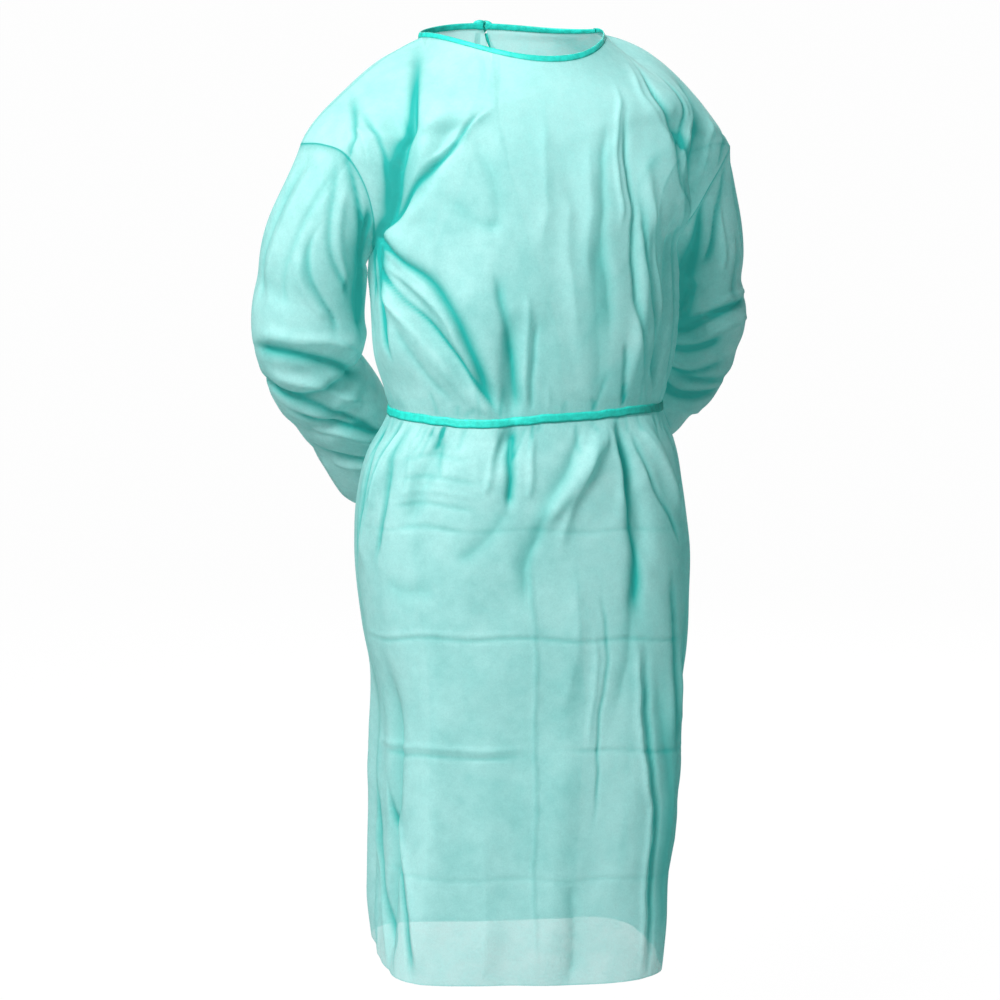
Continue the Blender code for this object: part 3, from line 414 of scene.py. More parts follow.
def bodyRows(across, facing):
    form = bodyForm
    yokes, others = form["frontYoke"], form["backYoke"]
    if facing > 0:
        yokes, others = others, yokes
    rows = [ringRow(ring, across, facing) for ring in form["rings"]]
    rows += [yokeRow(yoke, across) for yoke in yokes]
    top = topRow(across, facing)
    over = ease((np.abs(across) - form["neckShare"]) / form["neckBlend"])[:, None]
    beyond = over * yokeRow(others[-1], across) + (1.0 - over) * (2 * top - rows[-1])
    rises = [ring[0] for ring in form["rings"]] + [yoke[0] for yoke in yokes]
    return rises + [0.0, -yokes[-1][0]], rows + [top, beyond]


def wrapDegrees(turn):
    return (turn + 180.0) % 360.0 - 180.0


def foldRelief(turn, rise):
    # the broad folds, which the solid has too
    form = bodyForm
    early, fade = form["foldEnds"]
    height = np.zeros_like(turn)
    for fromTurn, fromRise, toTurn, toRise, width, depth in form["folds"]:
        start = np.array([fromTurn * form["perDegree"], fromRise])
        run = np.array([toTurn * form["perDegree"], toRise]) - start
        length = float(np.hypot(*run))
        run /= length
        dx = wrapDegrees(turn - fromTurn) * form["perDegree"]
        dz = rise - start[1]
        along = (dx * run[0] + dz * run[1]) / length
        off = (dx * run[1] - dz * run[0]) / width
        ends = ease((along + early) / fade) * ease((1.0 + early - along) / fade)
        height += depth * ends * np.exp(-off * off)
    return height


def inMetres(lines, perTurn):
    # crease lines from degrees and millimetres to metres of flat cloth
    found = []
    for points, widths, depth, *rest in lines:
        first, last = widths if isinstance(widths, tuple) else (widths, widths)
        flat = np.array([(turn * perTurn, mm / 1000) for turn, mm in points])
        found.append((flat, first / 1000, last / 1000, depth / 1000, *rest))
    return found


def creaseFields(u, v, lines, period):
    # height and tint of the crease lines at flat places u and v; the tint is partly the crease's overlapped
    # layers and partly painted shade
    form = creaseForm
    height, tint = np.zeros_like(u), np.zeros_like(u)
    for points, first, last, depth, strength, *skew in lines:
        steps = np.linspace(0.0, len(points) - 1.0, (len(points) - 1) * form["pathSteps"] + 1)
        path = splineThrough(np.arange(len(points)), points, steps)
        middle = (path[:, 0].min() + path[:, 0].max()) / 2
        uNear = middle + (u - middle + period / 2) % period - period / 2
        reach = form["reach"] * max(first, last)
        near = ((uNear > path[:, 0].min() - reach) & (uNear < path[:, 0].max() + reach)
                & (v > path[:, 1].min() - reach) & (v < path[:, 1].max() + reach))
        if not near.any():
            continue
        pu, pv = uNear[near], v[near]
        lengths = np.linalg.norm(np.diff(path, axis=0), axis=1)
        total, done = lengths.sum(), 0.0
        best = np.full(pu.shape, np.inf)
        share, side = np.zeros_like(pu), np.ones_like(pu)
        for a, b, length in zip(path[:-1], path[1:], lengths):
            run = (b - a) / length
            t = np.clip((pu - a[0]) * run[0] + (pv - a[1]) * run[1], 0.0, length)
            du, dv = pu - a[0] - t * run[0], pv - a[1] - t * run[1]
            gap = np.hypot(du, dv)
            closer = gap < best
            best = np.where(closer, gap, best)
            share = np.where(closer, (done + t) / total, share)
            side = np.where(closer, np.sign(du * run[1] - dv * run[0]), side)
            done += length
        crispSide = skew[0] if skew else 0.0  # 1 is on the right of the line's run
        width = first + (last - first) * share
        width = width * (1.0 - form["narrows"] * abs(crispSide) * (side * crispSide > 0)
                         + form["widens"] * abs(crispSide) * (side * crispSide < 0))
        ends = ease(share / form["endRun"]) * ease((1.0 - share) / form["endRun"])
        ends = form["endHeight"] + (1.0 - form["endHeight"]) * ends
        shape = np.exp(-((best / width) ** 2)) * ends
        crisp = np.exp(-best / (form["crispWidth"] * width)) * ends  # a sharper line down the middle
        wash = np.exp(-((best / (form["tintWidth"] * width)) ** form["tintPower"]))
        height[near] += depth * (form["softShare"] * shape + (1.0 - form["softShare"]) * crisp)
        tint[near] += strength * ends * (form["softTint"] * wash + (1.0 - form["softTint"]) * crisp)
    return height, tint


def buckleField(u, v, box, how, period):
    # many small soft dents and swells, mostly along the hang of the cloth
    random = np.random.default_rng(how["seed"])
    height = np.zeros_like(u)
    (uLow, uHigh), (vLow, vHigh) = box
    for _ in range(how["count"]):
        cu, cv = random.uniform(uLow, uHigh), random.uniform(vLow, vHigh)
        length = random.uniform(*how["length"]) / 2
        width = random.uniform(*how["width"])
        lean = random.normal(0.0, how["lean"]) + math.pi / 2
        depth = how["depth"] * random.uniform(-1.0, 1.0)
        du, dv = (u - cu + period / 2) % period - period / 2, v - cv
        near = np.hypot(du, dv) < 3.0 * max(length, width)
        along = (du[near] * math.cos(lean) + dv[near] * math.sin(lean)) / length
        off = (du[near] * math.sin(lean) - dv[near] * math.cos(lean)) / width
        height[near] += depth * np.exp(-along * along - off * off)
    return height


def beltGathers(how):
    # short crowded creases that run into the belt from above and below
    random = np.random.default_rng(how["seed"])
    rise = bodyForm["beltRise"] * 1000
    lines = []
    for _ in range(how["count"]):
        turn = random.uniform(-180.0, 180.0)
        reach = random.uniform(*how["reach"])
        side = random.choice([-1.0, 1.0])
        lean = random.normal(0.0, how["lean"])
        depth = how["depth"] * random.uniform(0.5, 1.0) * random.choice([-1.0, -1.0, 1.0])
        points = [(turn + lean * bend, rise + side * (how["start"] + reach * run))
                  for bend, run in ((0.0, 0.0), (0.4, 0.5), (1.0, 1.0))]
        width = how["width"] * random.uniform(0.8, 1.4)
        # only the dents are tinted darker: painted shade in them, with their crowded layers
        lines.append((points, width, depth, how["tint"] if depth < 0 else 0.0))
    return lines


def outwardWay(points):
    shareX, shareY, shareZ, low = bodyForm["standOut"]
    way = points * np.array([shareX, shareY, 0.0])
    way[..., 2] = shareZ * np.clip(points[..., 2] - low, 0.0, None)
    return unitVectors(way)


def lapShare(rise):
    form = bodyForm
    return form["lapShare"] * ease((form["lapFrom"] - rise) / form["lapRun"])


def lapNear(across, slack=0.0):
    form = bodyForm
    return ease((form["lapShare"] + form["lapEase"] + slack - across) / (form["lapBlend"] + slack))


def beltPress(rise):
    return np.exp(-(((rise - bodyForm["beltRise"]) / bodyForm["beltPress"]) ** 2))


def bodyShape(across, rise, facing, side=0):
    # points of the body before its folds, its turns in degrees and its lift off the other panel
    form = bodyForm
    rises, rows = bodyRows(across, facing)
    points = splineThrough(rises, rows, rise)[0]
    height, atX, reachX, fromRise, run = form["leftRaise"]
    reach = (points[:, 0] - atX) / reachX
    points[:, 2] += height * np.exp(-reach * reach) * ease((rise - fromRise) / run)
    turn = across * 90.0 if facing < 0 else 180.0 - across * 90.0
    lift = side * form["lapLift"] / 2 * lapNear(side * across) * ease(-rise / form["lapOpening"])
    return points, turn, lift


def bodyField(turn, rise):
    # how far the cloth stands out, and how strongly it is tinted darker (partly overlapped layers, partly
    # painted shade), at degrees round and rise
    form = bodyForm
    period = 360.0 * form["perDegree"]
    u = turn * form["perDegree"]
    wave = 2.0 * math.pi / period
    # a slow wander keeps the creases from running too true
    uu = u + sum(size * np.sin(rise * rate + start) for size, rate, start in form["wanderRound"])
    size, waves = form["wanderUp"]
    vv = rise + size * np.sin(u * wave * waves)
    lines = inMetres(frontCreases + backCreases + beltGathers(beltPuckers), form["perDegree"])
    fine, tint = creaseFields(uu, vv, lines, period)
    fine += buckleField(u, rise, ((-period / 2, period / 2), bodyBuckles["between"]), bodyBuckles, period)
    broad, press = foldRelief(turn, rise), beltPress(rise)
    height = broad * ease(-rise / form["yokeFade"]) + fine * ease(-rise / form["fineFade"])
    # painted shade darkens the troughs of the broad folds
    fullDepth, strength = form["troughShade"]
    tint += np.clip(-broad / fullDepth, 0.0, 1.0) * strength
    # darker stripes round the belt where the gathers crowd: partly their crowded layers, partly painted shade
    # between them
    strength, gathers = form["pressTint"]
    tint += strength * press * np.abs(np.sin(u * wave * gathers))
    return height * (1.0 - form["beltFlattens"] * press), tint


def finishPoints(points, turn, rise, lift):
    points = points + outwardWay(points) * lift[..., None]
    for atTurn, atRise, spanDegrees, reach, drop in bodyForm["sags"]:
        away = wrapDegrees(turn - atTurn) / spanDegrees
        points[..., 2] -= drop * np.exp(-away * away - ((rise - atRise) / reach) ** 2)
    return points


def drawnPoints(across, rise, facing):
    points, turn, lift = bodyShape(across, rise, facing)
    rises = np.full_like(turn, rise)
    return finishPoints(points, turn, rises, lift + bodyField(turn, rises)[0])


def dressPanel(rows, facing, side=0):
    # a whole panel's points and their tint, partly painted shade in folds, with a little more along its
    # welded seams and hem
    shaped = [bodyShape(across, at, facing, side) for across, at in rows]
    points, turn, lift = (np.array(each) for each in zip(*shaped))
    rise = np.array([np.full_like(each, at) for each, (_, at) in zip(turn, rows)])
    height, tint = bodyField(turn, rise)
    for edge in (tint[:, 0], tint[:, -1], tint[-1]):
        edge += seamTint["side"]
    tint[0] += seamTint["hem"]
    return {"points": finishPoints(points, turn, rise, lift + height), "tint": tint}


hemRise, yokeRise = bodyForm["rings"][0][0], bodyForm["rings"][-1][0]
rises = np.concatenate([np.linspace(hemRise, yokeRise, gridCuts["skirtRows"]),
                        np.linspace(yokeRise, 0.0, gridCuts["yokeRows"])[1:]])
frontAcross = np.linspace(-1.0, 1.0, gridCuts["frontColumns"] + 1)
front = dressPanel([(frontAcross, rise) for rise in rises], -1)
print("front shaped", front["points"].shape)


def backAcross(rise, side):
    form, cut = bodyForm, gridCuts
    lap = np.linspace(form["backGap"] - lapShare(rise), form["lapEnd"], cut["lapColumns"] + 1)[:-1]
    neck = np.linspace(form["lapEnd"], form["neckShare"], cut["neckColumns"] + 1)
    shoulder = np.linspace(form["neckShare"], 1.0, cut["shoulderColumns"] + 1)[1:]
    across = np.concatenate([lap, neck, shoulder])
    return across if side > 0 else -across[::-1]


backs = {side: dressPanel([(backAcross(rise, side), rise) for rise in rises], 1, side) for side in (1, -1)}
print("backs shaped", backs[1]["points"].shape)

sleeveForm = {
    "rings": 150,
    "blend": 0.11,
    "armholeFade": 1.5,
    "foldFade": 0.05,
    # x, y, z, radius out from the body, radius fore and aft
    "left": [
        (0.2510, 0.0430, -0.250, 0.0600, 0.0650),
        (0.2600, 0.0560, -0.300, 0.0610, 0.0650),
        (0.2680, 0.0700, -0.350, 0.0620, 0.0630),
        (0.2620, 0.0950, -0.402, 0.0600, 0.0610),
        (0.2260, 0.1300, -0.450, 0.0580, 0.0590),
        (0.1700, 0.1650, -0.494, 0.0540, 0.0560),
        (0.1150, 0.1950, -0.530, 0.0500, 0.0520),
        (0.0850, 0.2130, -0.552, 0.0370, 0.0370),
    ],
    "right": [
        (-0.2340, 0.0500, -0.252, 0.0640, 0.0680),
        (-0.2370, 0.0680, -0.300, 0.0660, 0.0680),
        (-0.2380, 0.0820, -0.350, 0.0640, 0.0650),
        (-0.2190, 0.1060, -0.400, 0.0600, 0.0610),
        (-0.1780, 0.1370, -0.446, 0.0570, 0.0590),
        (-0.1430, 0.1680, -0.492, 0.0550, 0.0560),
        (-0.1080, 0.1960, -0.534, 0.0520, 0.0520),
        (-0.0850, 0.2130, -0.558, 0.0370, 0.0370),
    ],
    # how far down, round from the outer side towards the front, length, span in degrees, depth
    "dents": [
        (0.235, 150.0, 0.016, 70.0, -0.012),
        (0.200, 100.0, 0.014, 60.0, -0.007),
        (0.275, 100.0, 0.014, 60.0, -0.008),
        (0.340, 80.0, 0.018, 60.0, -0.006),
        (0.120, 40.0, 0.020, 50.0, -0.005),
        (0.185, 165.0, 0.035, 42.0, 0.010),
    ],
    # points as (degrees round, how far down), then as for the front
    "rightLines": [
        ([(110, -20), (134, 8), (156, 50), (156, 130), (168, 185)], (13, 9), -6.2, 1.2),
        # broad bands with no crease under them: painted shade where the sleeve turns in towards the body,
        # away from the light
        ([(120, -10), (138, 30), (150, 100), (160, 160)], 24, 0, 0.62),
        ([(90, 190), (130, 225), (160, 285)], 18, 0, 0.24),
        ([(80, 290), (120, 330), (150, 370)], 16, 0, 0.16),
        ([(40, -4), (59, 3), (102, 16), (139, 30), (162, 60)], 4, -4.2, 0.95, 0.5),
        ([(50, 4), (56, 16), (89, 45), (127, 88), (144, 125)], 3.4, -3.4, 0.6, 0.5),
        ([(70, 14), (98, 40), (124, 70), (134, 110)], 5, 4.2, 0),
        ([(78, 46), (80, 68), (106, 110), (123, 148), (130, 170)], 4, -4.2, 0.7, 0.6),
        ([(70, 70), (94, 112), (112, 150)], 5, 3.6, 0),
        ([(30, 6), (40, 70), (46, 150)], 6, 3, 0),
        ([(18, 6), (26, 80), (30, 150)], 6, -2.6, 0.3),
        ([(58, 10), (62, 70), (70, 140)], 4.4, -2, 0.28),
        ([(10, 190), (34, 184), (81, 177), (123, 193), (150, 222), (186, 264)], (5, 8.5), -8.5, 1.15, 0.5),
        ([(36, 173), (78, 165), (123, 170), (150, 188)], 5.5, 5.6, 0),
        ([(24, 212), (48, 224), (97, 246), (123, 296), (142, 335)], (7, 5.5), -6.2, 0.95),
        ([(36, 203), (90, 211), (125, 246), (152, 292)], 6, 5.2, 0),
        ([(50, 243), (83, 258), (111, 293), (140, 328), (165, 345)], (3.6, 6.2), -6.2, 1.1, 0.5),
        ([(58, 272), (90, 285), (110, 315), (136, 346)], 5, 5, 0),
        ([(40, 318), (67, 328), (116, 362), (142, 376)], (3.4, 5.6), -4.8, 0.9, 0.4),
        ([(56, 345), (100, 364), (120, 384)], 5, 3.6, 0),
        ([(30, 236), (38, 300), (46, 370), (56, 430)], 7, 2.6, 0),
        ([(-40, 200), (-10, 212), (16, 204)], 6, -3.4, 0.45),
        ([(-30, 228), (0, 238), (24, 232)], 5, -3, 0.45),
        ([(-120, 190), (-150, 210), (180, 232)], 6, -5.5, 0.7),
        ([(-100, 230), (-140, 250), (-172, 272)], 5.5, -5, 0.65),
        ([(-90, 80), (-70, 160), (-50, 240), (-44, 330)], 8, -3.4, 0.35),
    ],
    "leftLines": [
        ([(84, -16), (120, 10), (146, 62), (152, 120), (160, 165)], (10, 12), -6.2, 1.2),
        # broad bands with no crease under them: painted shade where the sleeve turns in towards the body,
        # away from the light
        ([(120, 0), (134, 60), (140, 140), (140, 250), (136, 330)], 38, 0, 0.5),
        ([(84, 60), (92, 140), (96, 240), (96, 340)], 26, 0, 0.22),
        ([(50, 0), (72, 18), (100, 40), (132, 80)], 4.5, -4.5, 0.85, 0.5),
        ([(58, 6), (84, 30), (98, 66), (104, 100)], 4.2, 5, 0),
        ([(30, 4), (48, 40), (60, 90)], 4, -3, 0.5),
        ([(70, 60), (78, 100), (84, 140)], 6.5, -3.2, 0.45),
        ([(138, 98), (150, 126), (162, 142)], 9.5, -4.8, 0.95),
        ([(34, 150), (60, 146), (100, 147), (130, 151), (152, 160), (176, 166)], (4, 7.5), -6.6, 1.05, -0.4),
        ([(44, 134), (84, 132), (118, 136)], 5, 4.6, 0),
        ([(50, 161), (90, 164), (120, 168), (150, 178)], 5, 4.8, 0),
        ([(100, 175), (131, 182), (152, 187), (176, 184)], 5, -5.2, 1),
        ([(110, 196), (140, 202), (168, 206)], 5, 4.2, 0),
        ([(76, 206), (110, 212), (142, 222), (172, 226)], 4.2, -3.6, 0.6),
        ([(46, 236), (80, 240), (110, 248), (140, 253), (170, 247)], (4.5, 6.2), -5.8, 1, 0.4),
        ([(56, 224), (100, 230), (136, 236)], 5, 4.4, 0),
        ([(60, 262), (96, 268), (130, 276)], 5, 3.6, 0),
        ([(150, 280), (118, 292), (90, 298)], 5.5, -4, 0.6),
        ([(130, 320), (100, 336), (70, 344)], 6, -3.6, 0.45),
        ([(-120, 190), (-150, 210), (180, 232)], 6, -5.5, 0.7),
        ([(-100, 240), (-140, 256), (-172, 280)], 5.5, -5, 0.65),
        ([(-90, 80), (-70, 160), (-50, 240), (-44, 350)], 8, -3.4, 0.35),
        ([(-30, 170), (0, 166), (30, 156)], 5.5, -3.6, 0.5),
        ([(20, 20), (30, 90), (36, 130)], 7, -2.8, 0.25),
    ],
    "roundRadius": 0.060,  # turns degrees round into metres of cloth
    "buckles": {"seed": 31, "count": 90, "length": (0.03, 0.09), "width": (0.007, 0.018), "depth": 0.0014,
                "lean": 0.5},
    "wanderRound": (0.0018, 83.0),  # size, rate
    "wanderDown": (0.0016, 4.0),  # size, waves all round
    "fineFade": 0.014,
    "tintFade": 0.012,
    "gatherLength": 0.060,
    "gatherCount": 24,
    "gatherDepth": 0.0012,
    "gatherWander": (0.8, 3.0),  # size, waves all round
    "gatherUneven": (0.7, 0.3, 5.0),  # middle, swing, waves all round
    "gatherDrift": (0.7, 60.0),  # size, rate
    "gatherTint": 0.5,
}


def armholeEdge(side):
    # up the front and down the back, from the underarm
    first, column = gridCuts["skirtRows"] - 1, -1 if side > 0 else 0
    edges = []
    for key in ("points", "tint"):
        up, down = front[key][first:, column], backs[side][key][first:, column]
        edges.append(np.concatenate([up, down[::-1][1:-1]]))
    return edges


def sleeveDents(place, angle):
    depth = np.zeros_like(angle)
    for along, around, length, spanDegrees, dent in sleeveForm["dents"]:
        off = wrapDegrees(np.degrees(angle) - around)
        depth += dent * np.exp(-(((place - along) / length) ** 2) - (off / spanDegrees) ** 2)
    return depth * ease(place / sleeveForm["foldFade"])


def gatherWave(angle, drift):
    # uneven small pleats round the sleeve's end, the same ones in the cuff
    form = sleeveForm
    wander, waves = form["gatherWander"]
    middle, swing, around = form["gatherUneven"]
    phase = angle * form["gatherCount"] + wander * np.sin(angle * waves) + drift
    return np.sin(phase) * (middle + swing * np.sin(angle * around))


def sleeveField(angle, places, side, edgeTint):
    # the fine creases and gathers, over the whole opened-out sleeve at once
    form = sleeveForm
    radius, end = form["roundRadius"], places[-1]
    period = 2.0 * math.pi * radius
    angles, v = np.meshgrid(angle, places)
    u = angles * radius
    (sizeRound, rate), (sizeDown, waves) = form["wanderRound"], form["wanderDown"]
    uu, vv = u + sizeRound * np.sin(v * rate + side), v + sizeDown * np.sin(angles * waves + side)
    lines = inMetres(form["leftLines" if side > 0 else "rightLines"], math.radians(1.0) * radius)
    fine, tint = creaseFields(uu, vv, lines, period)
    buckles = {**form["buckles"], "seed": form["buckles"]["seed"] + side}
    fine += buckleField(u, v, ((-period / 2, period / 2), (0.0, end)), buckles, period)
    toCuff = ease((v - (end - form["gatherLength"])) / form["gatherLength"])
    drift, rate = form["gatherDrift"]
    gather = gatherWave(angles, drift * np.sin((v - end) * rate))
    fine = fine * ease(v / form["fineFade"]) * (1.0 - toCuff) + form["gatherDepth"] * gather * toCuff
    # the troughs of the gathers are tinted darker: partly their bunched layers, partly painted shade
    tint = tint * (1.0 - toCuff) + form["gatherTint"] * np.clip(-gather, 0.0, 1.0) * toCuff
    start = ease(v / form["tintFade"])
    tint = tint * start + edgeTint * (1.0 - start)
    tint[0] += seamTint["armhole"]
    return fine, tint


def sleeveTube(side):
    form = sleeveForm
    loop, edgeTint = armholeEdge(side)
    bottom, top = loop[0], loop[gridCuts["yokeRows"] - 1]
    centre = (bottom + top) / 2
    out = unitVectors(top - bottom)
    ahead = unitVectors(np.cross(np.array([0.0, 1.0, 0.0]), out)) * side
    fore = np.cross(out, ahead)
    if fore[1] > 0:
        fore = -fore
    rel = loop - centre
    angle = np.arctan2(rel @ fore, rel @ out)
    radius = np.linalg.norm(top - bottom) / 2
    odd = rel - radius * (np.cos(angle)[:, None] * out + np.sin(angle)[:, None] * fore)

    stations = form["left" if side > 0 else "right"]
    middle = np.array([centre] + [station[:3] for station in stations])
    radii = np.array([(radius, radius)] + [station[3:] for station in stations])
    knots = runAlong(middle)
    places = np.linspace(0.0, knots[-1], form["rings"])
    centres, sizes = splineThrough(knots, middle, places), splineThrough(knots, radii, places)
    tangents = unitVectors(np.gradient(centres, axis=0))
    fine, tint = sleeveField(angle, places, side, edgeTint)

    rings = []
    for i, place in enumerate(places):
        turned = float(ease(place / form["blend"]))
        heading = unitVectors(ahead * (1 - turned) + tangents[i] * turned)
        out = unitVectors(out - heading * (out @ heading))
        fore = unitVectors(fore - heading * (fore @ heading) - out * (fore @ out))
        wide, deep = sizes[i, :, None] + sleeveDents(place, angle) + fine[i]
        rings.append(centres[i] + (wide * np.cos(angle))[:, None] * out
                     + (deep * np.sin(angle))[:, None] * fore + odd * (1 - turned) ** form["armholeFade"])
    return {"points": np.array(rings), "tint": tint, "tangent": tangents[-1], "centre": centres[-1],
            "angle": angle}


cuffForm = {
    "length": 0.035, "rows": 26,
    "waist": 0.955, "waistEnds": 0.14,
    "pleatDepth": 0.0009, "pleatShare": 0.4, "drift": (0.7, 4.0),
    "ribs": 5, "ribPower": 0.7,
    "tint": 0.26, "pleatTint": 0.35, "puffTint": 0.30,
}


def cuffTube(sleeve):
    form = cuffForm
    ring, centre, way = sleeve["points"][-1], sleeve["centre"], sleeve["tangent"]
    rel = ring - centre
    rel = rel - np.outer(rel @ way, way)
    size = np.linalg.norm(rel, axis=1, keepdims=True)
    rows, tint = [], []
    for share in np.linspace(0.0, 1.0, form["rows"]):
        middle = float(ease(share / form["waistEnds"]) * ease((1.0 - share) / form["waistEnds"]))
        drawn = 1.0 - (1.0 - form["waist"]) * middle
        # elastic threads pull the cloth in, with small puffs between them
        puff = 1.0 - abs(math.sin(math.pi * form["ribs"] * share)) ** form["ribPower"]
        drift, rate = form["drift"]
        pleat = gatherWave(sleeve["angle"], drift * math.sin(rate * share))
        stand = form["pleatDepth"] * (form["pleatShare"] * pleat - puff)
        rows.append(centre + rel / size * (size * drawn + stand[:, None])
                    + way * (bodyForm["seam"] + form["length"] * share))
        # darker in the pleats' troughs and along the pulled-in rows: partly gathered layers, partly painted
        # shade
        tint.append(form["tint"] + form["pleatTint"] * np.clip(-pleat, 0.0, 1.0) + form["puffTint"] * puff)
    rows[0] = centre + rel + way * bodyForm["seam"]
    return {"points": np.array(rows), "tint": np.array(tint)}


sleeves = {side: sleeveTube(side) for side in (1, -1)}
cuffs = {side: cuffTube(sleeves[side]) for side in (1, -1)}
print("sleeves and cuffs shaped", sleeves[1]["points"].shape)


def onBack(across, rise, out):
    # points over the closed back, standing out from the panel that laps over
    points = drawnPoints(across, rise, 1)
    lift = bodyForm["lapLift"] / 2 * lapNear(-across, bodyForm["lapSlack"]) * lapNear(across)
    return points + outwardWay(points) * (lift + out)[:, None]


beltForm = {
    "width": 0.010, "thick": 0.0014, "rows": 5, "sideColumns": 155, "frontColumns": 308,
    "stand": 0.0006, "under": 0.0002, "endGap": 0.006, "edgeThins": 0.55,
    "edgeWave": (0.0005, 190.0, 31.0, 1.0), "sag": (0.0008, 47.0),
}


def beltStrip():
    # the belt's rings of points, from the centre back round the right side and the front and back again
    form = beltForm
    half = np.linspace(form["endGap"], 1.0, form["sideColumns"])
    around = np.linspace(-1.0, 1.0, form["frontColumns"] + 2)[1:-1]
    section = np.linspace(-1.0, 1.0, form["rows"])
    offsets = [(s, form["thick"] * (1.0 - form["edgeThins"] * s**4) + form["stand"]) for s in section]
    offsets += [(s, form["stand"] - form["under"]) for s in section[::-1]]
    rings = []
    for s, out in offsets:
        rise = bodyForm["beltRise"] + s * form["width"] / 2
        middle = drawnPoints(around, rise, -1)
        middle = middle + outwardWay(middle) * out
        back = onBack(np.concatenate([-half, half]), rise, out + form["under"])
        rings.append(np.concatenate([back[:len(half)], middle, back[len(half):][::-1]]))
    rings = np.array(rings)
    # small uneven waves along both edges, as a folded tape has
    run = runAlong(rings[0])
    (size, rate, slowRate, start), (sag, sagRate) = form["edgeWave"], form["sag"]
    rings[..., 2] += size * np.sin(run * rate) * np.sin(run * slowRate + start) + sag * np.sin(run * sagRate)
    return rings


bindingForm = {
    "width": 0.008, "thick": 0.0018, "sectionSteps": 10, "sectionSquare": 0.6,
    "gap": 0.0002, "inset": 0.0004, "shoulderGap": 0.004, "upFrom": 4, "smoothing": 12,
    "lift": 0.5, "lean": 1.2, "wave": (0.00035, 240.0, 3.0),
}


def neckStrip():
    form, cut = bindingForm, gridCuts
    quarter = cut["frontColumns"] // 4
    frontTop = slice(quarter, cut["frontColumns"] - quarter + 1)
    left = slice(0, cut["lapColumns"] + cut["neckColumns"] + 1)
    right = slice(cut["shoulderColumns"], None)
    keep = np.abs(frontAcross[frontTop]) <= bodyForm["neckShare"] - form["shoulderGap"]

    def upWays(grid):
        way = unitVectors(grid[-1] - grid[-1 - form["upFrom"]])
        for _ in range(form["smoothing"]):
            way[1:-1] = unitVectors(way[:-2] + way[1:-1] * 2 + way[2:])
        return way

    def roundNeck(read):
        ends = [read(backs[-1]["points"])[right][::-1], read(backs[1]["points"])[left][::-1]]
        return np.concatenate([ends[0], read(front["points"])[frontTop][keep], ends[1]])

    points, ways = roundNeck(lambda grid: grid[-1]), roundNeck(upWays)
    up = unitVectors(ways + np.array([0.0, 0.0, form["lift"]]))
    lean = unitVectors(up - points * np.array([form["lean"], form["lean"], 0.0]))
    outward = unitVectors(np.cross(unitVectors(np.gradient(points, axis=0)), lean))
    if np.sum(outward * points) < 0:
        outward = -outward
    run = runAlong(points)
    size, rate, drift = form["wave"]
    rings = []
    for turn in np.linspace(0.0, 2.0 * math.pi, form["sectionSteps"], endpoint=False):
        share = 0.5 - 0.5 * math.cos(turn)  # 0 at the seam edge, 1 at the rolled top edge
        bulge = math.copysign(abs(math.sin(turn)) ** form["sectionSquare"], math.sin(turn))
        wave = size * np.sin(run * rate + drift * share) * math.sin(math.pi * share)
        stand = bulge * form["thick"] / 2 + wave - form["inset"]
        rings.append(points + ways * form["gap"] + (ways * (1 - share) + lean * share) * form["width"] * share
                     + outward * stand[:, None])
    return np.array(rings)


knotForm = {"size": (0.024, 0.011, 0.016), "steps": 150, "tape": (0.0030, 0.0013), "tapeSteps": 10}


def knotLoop(centre):
    # a pulled-in overhand knot, pressed flat
    form = knotForm
    t = np.linspace(0.0, 2.0 * math.pi, form["steps"], endpoint=False)
    path = np.stack([np.sin(t) + 2.0 * np.sin(2.0 * t), -np.sin(3.0 * t), np.cos(t) - 2.0 * np.cos(2.0 * t)],
                    axis=-1)
    path -= (path.max(axis=0) + path.min(axis=0)) / 2
    path /= (path.max(axis=0) - path.min(axis=0)) / 2
    wide, flat = form["tape"]
    path = path * (np.array(form["size"]) / 2 - np.array([wide, flat, wide])) + centre
    along = unitVectors(np.roll(path, -1, axis=0) - np.roll(path, 1, axis=0))
    out = unitVectors(np.array([0.0, 1.0, 0.0]) - along * along[:, 1:2])
    across = np.cross(along, out)
    turns = np.linspace(0.0, 2.0 * math.pi, form["tapeSteps"], endpoint=False)
    return np.array([path + across * wide * math.cos(turn) + out * flat * math.sin(turn) for turn in turns])


tailForm = {
    "neck": 0.160, "belt": 0.270, "rows": 90, "width": 0.010, "thick": 0.0014,
    "start": 0.025, "spread": 0.07, "curve": 1.4,  # across the back
    "sway": 0.004, "waves": 2.4,
    "stand": 0.006, "drift": 0.006, "bow": 0.003,  # off the back
    "turn": 0.0012, "turns": 3.0, "leaves": 0.18, "pinch": 0.35,
    "knotUnder": 0.90, "knotGap": 0.0003,
    "crimp": (0.0004, 34.0, 2.0),
    "section": ((-1, 0.0), (-0.5, 0.5), (0, 0.35), (0.5, 0.5),
                (1, 0.0), (0.5, -0.5), (0, -0.65), (-0.5, -0.5)),  # across, out
}


def plainBack(across, rise):
    # one point on the closed back, without its fine creases
    points, turn, _ = bodyShape(np.array([across]), rise, 1)
    rises = np.array([rise])
    height = foldRelief(turn, rises) * ease(-rises / bodyForm["yokeFade"])
    points = finishPoints(points, turn, rises, height * (1.0 - bodyForm["beltFlattens"] * beltPress(rises)))
    lift = bodyForm["lapLift"] / 2 * lapNear(-across, bodyForm["lapSlack"]) * lapNear(across)
    return (points + outwardWay(points) * lift)[0]


